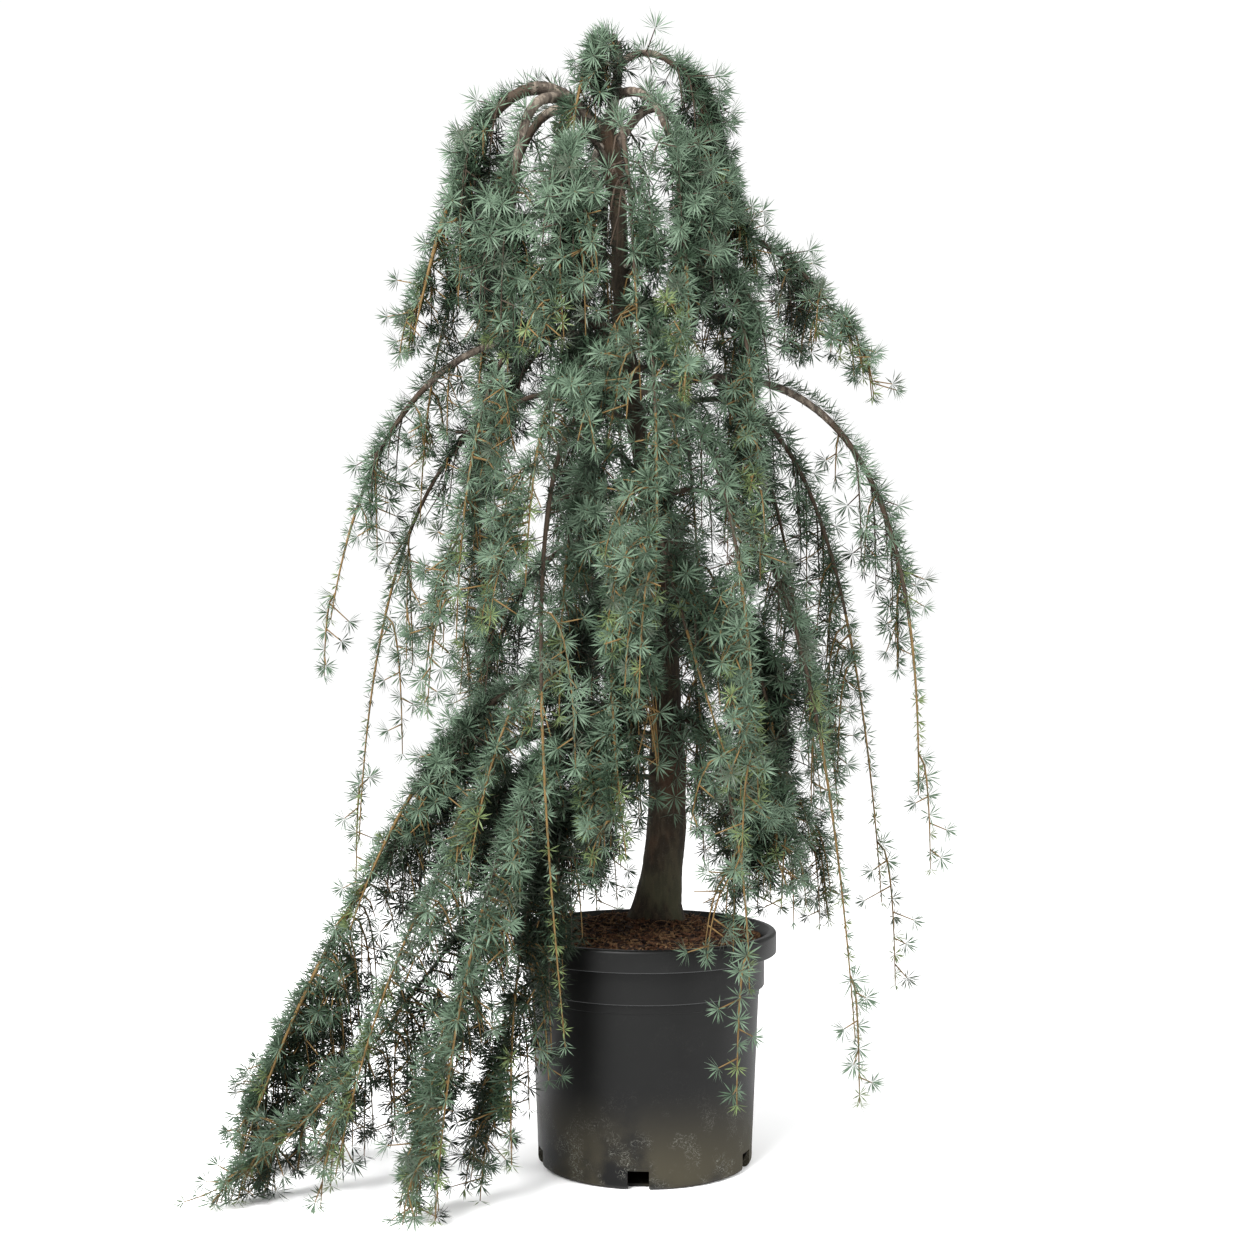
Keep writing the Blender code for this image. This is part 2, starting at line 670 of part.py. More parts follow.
def main():
    clear_scene()
    scene = bpy.context.scene.collection
    parts = bpy.data.collections.new("weeping_cedar_in_pot")
    cutters = bpy.data.collections.new("cutters")
    scene.children.link(parts)
    scene.children.link(cutters)
    bark = principled("bark", (0.105, 0.078, 0.056), 0.85)
    needles = principled("needles", (0.130, 0.205, 0.170), 0.65)
    make_pot(parts, cutters, principled("pot_plastic", (0.022, 0.024, 0.027), 0.48))
    make_soil(parts, principled("soil", (0.070, 0.030, 0.016), 0.95))
    trunk = place_object("trunk", loft("trunk", stem_sections()), parts, bark)
    trunk.data.shade_smooth()
    sleeves = {"": make_sleeve("trunk", loft("trunk_sleeve", stem_sections(GAP)), cutters)}
    courses = {}
    for arm in ARMS:
        courses[arm.name] = arm_course(arm, courses)
    room = Room(courses, ARMS)
    for arm in ARMS:
        course = courses[arm.name]
        if arm.limb:
            end, tip = bough_ends(arm, course)
            grow = GAP / math.cos(math.pi / 6)
            mesh = tube(f"{arm.name}_sleeve", course, end, arm.girth + grow, tip + grow)
            sleeves[arm.name] = make_sleeve(arm.name, mesh, cutters)
            make_bough(arm, course, sleeves[arm.fork_of], parts, bark)
        make_foliage(arm, course, room, sleeves[arm.fork_of], parts, cutters, needles)


main()
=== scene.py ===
"""Looks of a weeping blue cedar of Lebanon in a round nursery pot.

Metres, +Z up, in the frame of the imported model: the origin is the middle of the pot's
underside, -Y is the front. Each mass of foliage is grown again by the rule that the
solids follow, with more and finer twigs and with every needle. The stem and the boughs
get bark, the pot its moulding and wear, and the soil its chips and fibres.
"""

import math
import random
from typing import NamedTuple

import bmesh
import bpy
import numpy as np
from mathutils import Matrix, Vector, noise
from mathutils.kdtree import KDTree


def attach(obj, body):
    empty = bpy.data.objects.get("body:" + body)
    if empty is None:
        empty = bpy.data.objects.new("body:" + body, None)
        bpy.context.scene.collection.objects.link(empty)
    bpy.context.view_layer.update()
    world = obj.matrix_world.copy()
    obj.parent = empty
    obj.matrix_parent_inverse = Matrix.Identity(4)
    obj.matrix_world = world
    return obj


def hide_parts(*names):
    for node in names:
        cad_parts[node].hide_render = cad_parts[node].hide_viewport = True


bl_info = {
    "name": "Weeping cedar in a pot",
    "version": (1, 0, 0),
    "blender": (4, 5, 0),
    "location": "3D View > Sidebar > Cedar",
    "description": "Grows the bark, twigs and needles of a potted weeping cedar",
    "category": "Add Mesh",
}

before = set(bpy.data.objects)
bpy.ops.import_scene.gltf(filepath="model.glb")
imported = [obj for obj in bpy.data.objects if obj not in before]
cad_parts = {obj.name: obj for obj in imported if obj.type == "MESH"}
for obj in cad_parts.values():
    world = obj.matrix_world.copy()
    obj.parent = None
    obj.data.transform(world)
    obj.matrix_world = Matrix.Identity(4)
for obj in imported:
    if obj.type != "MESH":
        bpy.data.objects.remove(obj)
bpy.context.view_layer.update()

UP = np.array((0.0, 0.0, 1.0))
GOLDEN_TURN = math.radians(137.5)
NEEDLE_SEED, CHIP_SEED, FIBRE_SEED = 7, 21, 22

# The photo: a level camera in front of the plant
PHOTO_PIXELS = 1254
CAMERA_PLACE = (-0.0247, -2.534, 0.730)
METRES_PER_PIXEL = 0.001374  # in the plane of the stem

# Pot
POT_SIDES = 128
POT_HEIGHT = 0.316
POT_WALL = 0.0032
COLLAR_RADIUS = 0.180
COLLAR_FOOT = 0.287
COLLAR_INSIDE = 0.169
COLLAR_ROUNDING = 0.0045
BAND_RADIUS = 0.1635
BAND_FOOT = 0.2425
BODY_TOP_RADIUS = 0.1572
BODY_FOOT_RADIUS = 0.1465
FOOT_HEIGHT = 0.020
UNDERSIDE_RADIUS = 0.138
LIP_DROP = 0.0015
LIP_SLOPE = 0.4  # of the rounding of the collar
EDGE_ROUNDING = 0.0012
GROOVE = 0.0009
STEP_ROUNDING = 0.001
STEP_BELOW_BAND = 0.012
STEP_DEPTH = 0.0006
NOTCHES = 5
NOTCH_SIZE = (0.040, 0.028, 0.050)
FIRST_NOTCH = math.radians(-94)
SHARP_ANGLE = math.radians(35)

# Soil
SOIL_RIM_HEIGHT = 0.3025
SOIL_RIM_RADIUS = 0.1622
SOIL_TOP = 0.3315
SOIL_DEPTH = 0.012
SOIL_CURVE = 1.6
SOIL_RINGS = 44
SOIL_TAPER = 0.008
SOIL_LUMPS = ((90, 0.0035), (260, 0.0022))  # waves in a metre, height
SMOOTH_RIM = 0.001
LITTER_MARGIN = 0.006
CHIPS = 2600
CHIP_SIZES = ((0.0035, 0.0018, 0.0008), (0.0130, 0.0050, 0.0022))  # smallest and largest
CHIP_SKEW = 0.35
CHIP_HEIGHTS = (-0.001, 0.003)
FIBRES = 1500
FIBRE_LENGTH = (0.010, 0.032)
FIBRE_RADIUS = (0.00022, 0.00050)
FIBRE_STEP = 0.006
FIBRE_BEND = 0.4
FIBRE_LIFT = (0.0, 0.004)

# Stem: height, lean to the side, radius
STEM_COURSE = (
    (0.3303, 0.013, 0.0350),
    (0.350, 0.016, 0.0305),
    (0.385, 0.022, 0.0280),
    (0.454, 0.030, 0.0270),
    (0.600, 0.031, 0.0205),
    (0.822, 0.021, 0.0140),
    (0.980, -0.008, 0.0118),
    (1.152, -0.031, 0.0112),
    (1.317, -0.037, 0.0115),
    (1.385, -0.049, 0.0128),
    (1.418, -0.060, 0.0140),
)
STEM_SINK = 0.012  # the foot of the stem goes this far into the soil
STEM_SIDES = 56
STEM_STEP = 0.004
LEAN_SMOOTHING = 4  # stations on either side
FLARE_LOBES = 0.16
FLARE_RIPPLES = 0.05
FLARE_TOP = 0.40
BOUGH_SIDES = 24
BOUGH_STEP = 0.004
BOUGH_TAPER = 0.55
BOUGH_SWELL = 0.25
BOUGH_SWELL_LENGTH = 0.016
STUB_SIDES = 16
STUB_STATIONS = 12
STUB_TAPER = 0.25
ROOT_SWELL = 0.10  # of the stem at the root of an arm
MOST_SWELL = 0.16
SWELL_LENGTH = 0.012
TOP_ROUNDING = 0.012
TOP_FLAT = 0.04  # share of the section that stays flat at the top
BARK_DEPTH = 0.0011
BOUGH_BARK_DEPTH = 0.6 * BARK_DEPTH
STUB_BARK_DEPTH = 0.0006
BARK_WAVES = (
    # waves in a metre across and along the wood, shift, share of the depth
    (210, 42, (0, 0, 0), 0.75),
    (75, 60, (9, 0, 0), 0.70),
    (30, 330, (0, 5, 0), 0.35),
)

# Growth, as the solids have it
COURSE_POINTS = 48
HEADING_STEP = 0.01
SAMPLE_STEP = 0.008
FIRST_SPRAY = 0.010
TWIG_SHARES = (0.04, 0.90)
FIRST_SHARE = 0.37
NEXT_SHARE = 0.618
TURN_PLAY = 0.5
FLATNESS = 0.65
SPREAD_PLAY = (0.70, 1.15)
HANG_PLAY = (0.75, 1.20)
TWIG_LIFT = 0.15
TWIG_FOOT = 1.1
ROOM_TO_LIMB = 0.003
ROOM_TO_POT = 0.004
ROOM_TO_GROUND = 0.004

# Finer growth
TWIG_RADIUS = 0.0019
TWIG_END = 0.0008
TWIG_STEP = 0.020
TWIG_TAPER = 0.8  # under 1, a twig thins faster near its root
WAY_STEP = 0.006
SHORTEST_TWIG = 2.5 * FIRST_SPRAY
SHORTENED = (0.45, 1.0)  # what is left of the length of a twig that the solids don't have
TWIGLET_RADIUS = 0.0012
TWIGLET_PITCH = 0.036
TWIGLET_LENGTH = (0.018, 0.042)
TWIGLETS_FROM = (0.02, 0.04)
TWIGLETS_END = 0.008
TWIGLET_LEAN = 0.45
JOINT_LAP = 0.010
YOUNG_BARK_FROM = 0.55  # share of a stem
YOUNG_TWIGS_FROM = 0.30
BARE_LIMB = 0.15  # share of a bough without rosettes or twigs
BARE_TOP_LIMB = 0.50
TOP_LIMBS_FROM = 1.30  # height of their roots on the stem
BARE_SHARES = {"right_crest": 0.15, "crest": 0.60}
WHIP_FROM = {  # the share of an arm from which it hangs as a single whip
    "golden_whip": 0.20, "far_left": 0.55, "left_long": 0.50, "far_right": 0.50, "right_outer": 0.60,
    "right_long": 0.50, "diagonal_spray": 0.40, "right_rim_plume": 0.70,
}
FULLNESS = {  # masses that are fuller than the others
    "front_low": 2.0, "right_low": 1.8, "centre_left": 1.6, "diagonal_spray": 2.2, "right_crest": 1.5,
    "front_right_curtain": 1.5, "front_left_curtain": 1.3, "left_low": 1.7, "front_fall": 1.3,
    "right_front": 1.3, "right_rim_plume": 1.5, "right_mantle": 1.3, "cascade_top": 1.8,
    "cascade_left": 1.8, "cascade_heart": 1.8, "cascade_front": 1.6, "cascade_inner": 1.5,
    "cascade_ground": 1.2,
}

# Rosettes and needles
STEM_PITCH, WHIP_PITCH, LIMB_PITCH = 0.7, 0.55, 0.4  # shares of the pitch on a twig
WHIP_SIZES = (1.1, 0.8)  # of a young needle, at the root and the end of a whip
SIZE_PLAY = (0.85, 1.1)
COUNT_PLAY = (0.85, 1.0)
PITCH_PLAY = (0.9, 1.1)
COUNT_FADE = 0.3  # share of the needles that rosettes lose towards the end of a twig
ROSETTE_RISE = (0.10, 0.75)  # lean of a rosette towards the end of its twig, in radians
WHIP_RISE = (0.45, 0.95)  # the same on a single whip
WHIP_AGES = (0.6, 1.0)  # ages run from 0 on old wood to 1 at the young ends
LIMB_AGES = (0.0, 0.3)
ROSETTES_FROM = 0.3  # of the bare start of a stem
ROSETTE_MIDDLE = 0.4  # share of a needle's length from the foot of its rosette
FACING = 0.55  # how far rosettes turn from their twig to the outside of the crown
FACING_UP = 0.15
LIMB_FACING_UP = 0.7
TEMPLATES = 8
NEEDLE_OPENING = (0.30, 1.50)  # angle of the needles from the rosette's axis, in radians
OPENING_POWER = 0.62  # under 1, more needles stand wide than close
NEEDLE_WIDEST = 0.5  # share of its length
NEEDLE_KEEL = 0.45  # height of its back, in half widths
NEEDLE_LENGTHS = (0.80, 1.06)
NEEDLE_PLAY = (0.1, 0.9)
NEEDLE_TURN_PLAY = 0.25
NEEDLE_ROOT = 0.02  # share of its length
NEEDLE_TRIANGLES = np.array([(0, 1, 3), (0, 3, 2), (0, 2, 1), (3, 1, 2)])
CLEAR_OF_POT = 0.001
CLEAR_OF_GROUND = 0.0015

# The finishes of rosettes, in the order of their numbers. The shaded and the pale finishes are the
# blue-green with painted shade and painted light, dealt by how deep a rosette lies in the crown
DARK, MIDDLE, PALE, GREY, FRESH, DEAD = range(6)
NEEDLE_FINISHES = (
    ("needles_shaded", (0.007, 0.013, 0.006)),
    ("needles_blue_green", (0.030, 0.053, 0.030)),
    ("needles_glaucous", (0.066, 0.101, 0.066)),
    ("needles_grey", (0.042, 0.055, 0.037)),
    ("needles_fresh", (0.078, 0.107, 0.040)),
    ("needles_dead", (0.080, 0.040, 0.028)),
)
SHADE_REACH = 0.045  # rosettes in a ball of this radius, over one and outside it, shade it
SHADED, SUNLIT = 0.34, 0.68  # shares of the light under and over which a rosette is dark or pale
LIGHT_PLAY = 0.16
LIGHT_OUT, LIGHT_UP = 0.8, 0.6  # how far the light comes from outside and from above
GREY_SHARE = 0.10
FRESH_FROM, FRESH_SHARE = 0.80, 0.55
DEAD_TUFT = (715, 550)  # px
DEAD_TUFT_RADIUS = 16  # px
DEAD_TUFT_DEPTH = -0.08

# Other tones
TWIG_TONE = (0.035, 0.024, 0.016)
RUST = (0.046, 0.021, 0.010)
LICHEN = (0.050, 0.052, 0.028)
LICHEN_HEIGHTS = (0.47, 0.33)  # where it starts, going down, and where it is full
BARK_SPECK = (0.100, 0.086, 0.070)
STUB_TONES = ((0.110, 0.092, 0.072), (0.240, 0.215, 0.180))
PLASTIC_MOTTLE = (0.0044, 0.0045, 0.0043)
# painted highlight along the lower edges of the collar and the band
EDGE_HIGHLIGHT = (0.110, 0.113, 0.115)
SCRATCH = (0.125, 0.125, 0.108)
SCRATCH_EDGES = (0.022, 0.008)
DIRT_HEIGHTS = (0.135, 0.005)
SOIL_CRUMBS = (0.045, 0.020, 0.009)
CHIP_TONES = (
    ("chip_dark", (0.010, 0.005, 0.003), (0.022, 0.010, 0.006)),
    ("chip_red", (0.035, 0.014, 0.006), (0.070, 0.030, 0.013)),
    ("chip_tan", (0.075, 0.040, 0.018), (0.125, 0.073, 0.035)),
)
FIBRE_TONES = (
    ("fibre_red", (0.090, 0.040, 0.017)),
    ("fibre_tan", (0.150, 0.086, 0.040)),
    ("fibre_dark", (0.018, 0.009, 0.005)),
)

# Stage: name, place, aim, size and share of the set power of each light
LIGHTS = (
    ("key", (-1.6, -2.2, 3.0), (0.0, 0.0, 0.8), 2.4, 14.0),
    ("fill", (2.4, -1.6, 1.8), (0.0, 0.0, 0.7), 2.0, 2.0),
)
FLOOR_SIZE = 14.0
FLOOR_PLACE = (0.0, 6.0, -0.0005)
SENSOR_WIDTH = 36.0


class Arm(NamedTuple):
    """One arm, from its root over a shoulder to its foot. Angles in degrees from +X."""

    name: str
    root: float
    azimuth: float
    reach: float
    shoulder: float
    foot_azimuth: float
    foot_reach: float
    foot: float
    limb: float = 0.0
    girth: float = 0.0045
    twigs: int = 3
    spread: float = 0.060
    hang: float = 0.170
    bare: float = 0.14
    set_off: float = 0.45
    rise: float = 0.03
    fork_of: str = ""


ARMS = (
    # the crest, and the limbs that spring from the knot
    Arm("crest", 1.400, -162, 0.095, 1.545, -154, 0.108, 1.395, limb=0.42, girth=0.0085, twigs=4,
        spread=0.030, hang=0.070, bare=0.03, set_off=-1.5, rise=0.090),
    Arm("right_crest", 0.33, 12, 0.099, 1.530, -8, 0.132, 1.237, limb=0.16, girth=0.0050, twigs=6,
        spread=0.050, hang=0.120, bare=0.02, set_off=0.30, rise=0.02, fork_of="crest"),
    Arm("left_shoulder", 1.392, -168, 0.241, 1.494, -169, 0.316, 1.122, limb=0.26, girth=0.0105, twigs=5,
        bare=0.03),
    Arm("left_fall", 0.16, -152, 0.205, 1.459, -143, 0.225, 1.060, limb=0.36, girth=0.0075, twigs=4,
        bare=0.05, set_off=0.60, rise=-0.02, fork_of="left_shoulder"),
    Arm("left_centre", 1.350, -129, 0.206, 1.396, -119, 0.215, 1.090, limb=0.22, twigs=5, bare=0.05),
    Arm("front_fall", 0.10, -101, 0.122, 1.426, -92, 0.200, 1.017, limb=0.24, bare=0.05, rise=0.0,
        fork_of="crest"),
    Arm("right_front", 0.20, -64, 0.133, 1.446, -75, 0.207, 1.017, limb=0.26, girth=0.0065, twigs=5,
        bare=0.02, rise=0.0, fork_of="crest"),
    Arm("back_left_top", 1.368, 150, 0.240, 1.500, 145, 0.300, 1.035, limb=0.26, girth=0.0080, twigs=4,
        bare=0.05),
    Arm("back_top", 1.340, 108, 0.170, 1.500, 106, 0.229, 1.024),
    Arm("back_right_top", 1.372, 50, 0.144, 1.500, 50, 0.195, 1.018, limb=0.24, girth=0.0070, twigs=4,
        bare=0.05),
    # the sides and the front of the middle
    Arm("far_left", 1.12, -177, 0.368, 1.128, -176, 0.428, 0.740, limb=0.46, girth=0.0060, twigs=2,
        spread=0.030, hang=0.120, bare=0.03),
    Arm("left_long", 1.05, 173, 0.375, 1.048, 172, 0.405, 0.430),
    Arm("left_mantle", 1.22, 174, 0.300, 1.338, 176, 0.312, 0.878),
    Arm("left_front_mantle", 1.10, -145, 0.285, 1.170, -140, 0.314, 0.714),
    Arm("front_left_curtain", 1.08, -121, 0.270, 1.110, -120, 0.300, 0.780, twigs=4),
    Arm("golden_whip", 1.00, -124, 0.325, 1.033, -112, 0.270, 0.210, twigs=1),
    Arm("front_right_curtain", 1.15, -85, 0.241, 1.162, -88, 0.270, 0.739),
    Arm("right_mantle", 1.20, -32, 0.187, 1.280, -48, 0.214, 0.816, twigs=4),
    Arm("right_spur", 1.22, 8, 0.218, 1.290, 4, 0.305, 1.090, limb=0.40, girth=0.0060,
        hang=0.130, bare=0.02),
    Arm("far_right", 1.05, -3, 0.382, 1.080, -3, 0.373, 0.501, limb=0.35, girth=0.0060, twigs=2,
        spread=0.030, bare=0.02),
    Arm("right_outer", 1.00, 12, 0.290, 1.077, 8, 0.335, 0.345, spread=0.040),
    Arm("right_long", 0.90, -33, 0.260, 0.921, -27, 0.305, 0.195, twigs=2, spread=0.040),
    Arm("right_front_whips", 1.02, -61, 0.252, 1.015, -62, 0.293, 0.514),
    # the back of the middle
    Arm("back_left_mantle", 1.14, 145, 0.290, 1.150, 145, 0.330, 0.640),
    Arm("back_mantle", 1.08, 110, 0.260, 1.120, 110, 0.300, 0.600),
    Arm("back_right_mantle", 1.16, 72, 0.250, 1.180, 72, 0.290, 0.620),
    Arm("back_right_outer", 1.08, 38, 0.270, 1.100, 38, 0.310, 0.520),
    # the foot of the crown
    Arm("centre_left", 0.90, -133, 0.164, 1.001, -119, 0.228, 0.612),
    Arm("front_low", 0.80, -110, 0.212, 0.815, -96, 0.241, 0.440),
    Arm("diagonal_spray", 0.86, -85, 0.201, 0.815, -65, 0.265, 0.527, twigs=2),
    Arm("right_low", 0.75, -31, 0.192, 0.779, -32, 0.224, 0.399, twigs=4),
    Arm("right_rim_plume", 0.60, -58, 0.235, 0.560, -58, 0.245, 0.273, twigs=2),
    Arm("left_low", 0.75, -140, 0.247, 0.713, -133, 0.326, 0.415),
    Arm("back_left_low", 0.84, 155, 0.250, 0.860, 155, 0.310, 0.360),
    Arm("back_low", 0.80, 112, 0.220, 0.820, 112, 0.270, 0.370),
    Arm("back_right_low", 0.88, 70, 0.220, 0.880, 70, 0.270, 0.370),
    Arm("back_right_foot", 0.70, 30, 0.220, 0.740, 30, 0.260, 0.380),
    # the cascade to the ground, in front on the left
    Arm("cascade_top", 0.68, -161, 0.302, 0.647, -160, 0.409, 0.337, limb=0.30, girth=0.0070, twigs=5,
        hang=0.200, bare=0.05),
    Arm("cascade_left", 0.60, -165, 0.377, 0.554, -167, 0.545, 0.032, limb=0.26, girth=0.0080, twigs=6,
        hang=0.200, bare=0.05),
    Arm("cascade_ground", 0.55, -150, 0.420, 0.060, -158, 0.622, 0.013, twigs=6),
    Arm("cascade_heart", 0.58, -148, 0.360, 0.500, -147, 0.460, 0.050, twigs=5),
    Arm("cascade_front", 0.64, -130, 0.356, 0.517, -129, 0.406, 0.016, twigs=5, hang=0.200),
    Arm("cascade_inner", 0.52, -133, 0.273, 0.511, -125, 0.293, 0.061, twigs=4),
)


class Window(NamedTuple):
    """A clear view in the photo, in pixels. One with sky is clear at every depth."""

    left: float
    top: float
    right: float
    bottom: float
    sky: bool = False


WINDOWS = (
    Window(604, 128, 630, 330),  # the stem under the knot
    Window(630, 330, 644, 470),
    Window(654, 532, 670, 592),
    Window(642, 690, 660, 790),
    Window(632, 826, 692, 926),  # the foot of the stem
    Window(572, 892, 726, 944),  # the soil
    Window(537, 478, 551, 556, sky=True),
    Window(612, 862, 630, 886, sky=True),
)
STUBS = (
    # way of a pruned stub below the knot, and its radius
    (((-0.060, -0.010, 1.388), (-0.074, -0.026, 1.368), (-0.066, -0.032, 1.333)), 0.0056),
    (((-0.030, -0.008, 1.222), (-0.018, -0.020, 1.226), (-0.010, -0.026, 1.236)), 0.0028),
    (((0.020, -0.010, 0.815), (0.028, -0.024, 0.822), (0.032, -0.030, 0.830)), 0.0032),
)


# Sizes and colours that a user would change


class CedarNeedles(bpy.types.PropertyGroup):
    """Sizes of the needles and the closeness of the growth."""

    length: bpy.props.FloatProperty(
        name="Needle length", description="Length of a needle on older wood", default=0.0285,
        unit="LENGTH")
    young_length: bpy.props.FloatProperty(
        name="Young length", description="Length of a needle at the end of a whip", default=0.0165,
        unit="LENGTH")
    girth: bpy.props.FloatProperty(
        name="Needle girth", description="Half the width of a needle at its middle", default=0.00095,
        unit="LENGTH")
    in_rosette: bpy.props.IntProperty(
        name="Needles in a rosette", description="Needles in a full rosette", default=22, min=4)
    pitch: bpy.props.FloatProperty(
        name="Rosette pitch", description="Distance between rosettes along a twig", default=0.0270,
        unit="LENGTH")
    branching: bpy.props.IntProperty(
        name="Branching", description="Twigs for each twig of the solid", default=11, min=1)


class CedarBark(bpy.types.PropertyGroup):
    """Colours of the wood."""

    old: bpy.props.FloatVectorProperty(
        name="Old bark", description="Colour of the stem", default=(0.014, 0.010, 0.0055),
        subtype="COLOR")
    weathered: bpy.props.FloatVectorProperty(
        name="Weathered bark", description="Colour of its raised plates", default=(0.032, 0.024, 0.014),
        subtype="COLOR")
    limb: bpy.props.FloatVectorProperty(
        name="Limb bark", description="Colour of the boughs", default=(0.040, 0.031, 0.024),
        subtype="COLOR")
    pale_limb: bpy.props.FloatVectorProperty(
        name="Pale limb bark", description="Colour of their raised plates", default=(0.125, 0.104, 0.082),
        subtype="COLOR")
    young: bpy.props.FloatVectorProperty(
        name="Young bark", description="Colour of the hanging whips", default=(0.105, 0.064, 0.021),
        subtype="COLOR")


class CedarPot(bpy.types.PropertyGroup):
    """Colours of the pot and the soil."""

    plastic: bpy.props.FloatVectorProperty(
        name="Plastic", description="Colour of the pot", default=(0.0016, 0.0017, 0.0016),
        subtype="COLOR")
    dirt: bpy.props.FloatVectorProperty(
        name="Dirt", description="Colour of the dirt on its foot", default=(0.040, 0.035, 0.022),
        subtype="COLOR")
    soil: bpy.props.FloatVectorProperty(
        name="Soil", description="Colour of the soil", default=(0.014, 0.0065, 0.003), subtype="COLOR")


class CedarStage(bpy.types.PropertyGroup):
    """The light and the floor."""

    floor: bpy.props.FloatVectorProperty(
        name="Floor", description="Colour of the floor", default=(0.97, 0.97, 0.97), subtype="COLOR")
    light: bpy.props.FloatProperty(
        name="Light", description="Strength of the large soft light", default=30.0, unit="POWER")
    surround: bpy.props.FloatProperty(
        name="Surround", description="Strength of the white surround", default=1.04)


# Materials


class Value:
    """A shader socket in arithmetic: an expression on it adds Math nodes."""

    def __init__(self, finish, socket):
        self.finish = finish
        self.socket = socket

    def with_value(self, operation, first, second):
        node = self.finish.node("ShaderNodeMath", {"operation": operation}, {0: first, 1: second})
        return Value(self.finish, node.outputs[0])

    def __add__(self, other):
        return self.with_value("ADD", self, other)

    __radd__ = __add__

    def __sub__(self, other):
        return self.with_value("SUBTRACT", self, other)

    def __rsub__(self, other):
        return self.with_value("SUBTRACT", other, self)

    def __mul__(self, other):
        return self.with_value("MULTIPLY", self, other)

    __rmul__ = __mul__

    def __abs__(self):
        return self.with_value("ABSOLUTE", self, 0.0)


class Finish:
    """One material. Its methods add nodes, and what they return goes into further nodes."""

    def __init__(self, name, colour, roughness, specular=0.22):
        self.material = bpy.data.materials.new(name)
        self.material.use_nodes = True
        self.tree = self.material.node_tree
        self.shader = self.tree.nodes["Principled BSDF"]
        self.shader.inputs["Base Color"].default_value = (*colour, 1.0)
        self.shader.inputs["Roughness"].default_value = roughness
        self.shader.inputs["Specular IOR Level"].default_value = specular
        self.material.diffuse_color = (*colour, 1.0)

    def node(self, kind, settings=None, inputs=None):
        node = self.tree.nodes.new(kind)
        for key, setting in (settings or {}).items():
            setattr(node, key, setting)
        for key, value in (inputs or {}).items():
            if isinstance(value, Value):
                self.tree.links.new(value.socket, node.inputs[key])
            else:
                node.inputs[key].default_value = value
        return node

    def place(self, scale=(1.0, 1.0, 1.0)):
        """Object coordinates, stretched."""
        texture = self.node("ShaderNodeTexCoord")
        stretched = self.node("ShaderNodeVectorMath", {"operation": "MULTIPLY"},
                              {0: Value(self, texture.outputs["Object"]), 1: scale})
        return Value(self, stretched.outputs[0])

    def height(self):
        split = self.node("ShaderNodeSeparateXYZ", {}, {0: self.place()})
        return Value(self, split.outputs["Z"])

    def cloud(self, where, scale, detail=4.0, distortion=0.0):
        node = self.node("ShaderNodeTexNoise", {},
                         {"Vector": where, "Scale": scale, "Detail": detail, "Distortion": distortion})
        return Value(self, node.outputs[0])

    def between(self, value, low, high):
        """A soft step from 0 at low to 1 at high. Low may be the larger one."""
        node = self.node("ShaderNodeMapRange", {"interpolation_type": "SMOOTHSTEP"},
                         {"Value": value, "From Min": low, "From Max": high})
        return Value(self, node.outputs[0])

    def line(self, height, edge):
        """1 along an edge at that height, and 0 above and below it."""
        return (self.between(height, edge + 0.0015, edge + 0.0003)
                * self.between(height, edge - 0.0010, edge - 0.0002))

    def mix(self, factor, first, second):
        """Mixes two colours, each a socket or a tone of three values."""
        first, second = (tone if isinstance(tone, Value) else (*tone, 1.0) for tone in (first, second))
        node = self.node("ShaderNodeMix", {"data_type": "RGBA"}, {0: factor, 6: first, 7: second})
        return Value(self, node.outputs[2])

    def colour(self, value):
        self.tree.links.new(value.socket, self.shader.inputs["Base Color"])

    def roughness(self, value):
        self.tree.links.new(value.socket, self.shader.inputs["Roughness"])

    def bump(self, height, distance, strength=1.0):
        node = self.node("ShaderNodeBump", {},
                         {"Height": height, "Distance": distance, "Strength": strength})
        self.tree.links.new(node.outputs[0], self.shader.inputs["Normal"])


def bark_finish(name, old, weathered, rust):
    """Furrowed bark: dark, with raised weathered plates, rusty stretches, and lichen at the foot."""
    finish = Finish(name, old, 0.88)
    plates = finish.cloud(finish.place((1.0, 1.0, 0.30)), 150.0, 6.0, 0.6)
    patches = finish.cloud(finish.place((1.0, 1.0, 0.5)), 22.0, 3.0)
    specks = finish.cloud(finish.place(), 900.0, 2.0)
    colour = finish.mix(finish.between(plates, 0.42, 0.64), old, weathered)
    colour = finish.mix(finish.between(patches, 0.52, 0.68) * rust, colour, RUST)
    lichen = finish.between(finish.height(), *LICHEN_HEIGHTS) * finish.between(patches, 0.54, 0.42)
    colour = finish.mix(lichen * 0.6, colour, LICHEN)
    finish.colour(finish.mix(finish.between(specks, 0.55, 0.75) * 0.30, colour, BARK_SPECK))
    finish.roughness(plates * 0.15 + 0.78)
    finish.bump(plates + specks * 0.3, 0.0012)
    return finish.material


def pale_wood_finish():
    """Weathered wood of the pruned stubs, with its grain."""
    finish = Finish("weathered_stub", STUB_TONES[0], 0.8)
    grain = finish.cloud(finish.place((1.0, 1.0, 0.25)), 420.0, 4.0)
    finish.colour(finish.mix(grain, *STUB_TONES))
    finish.bump(grain, 0.0004)
    return finish.material


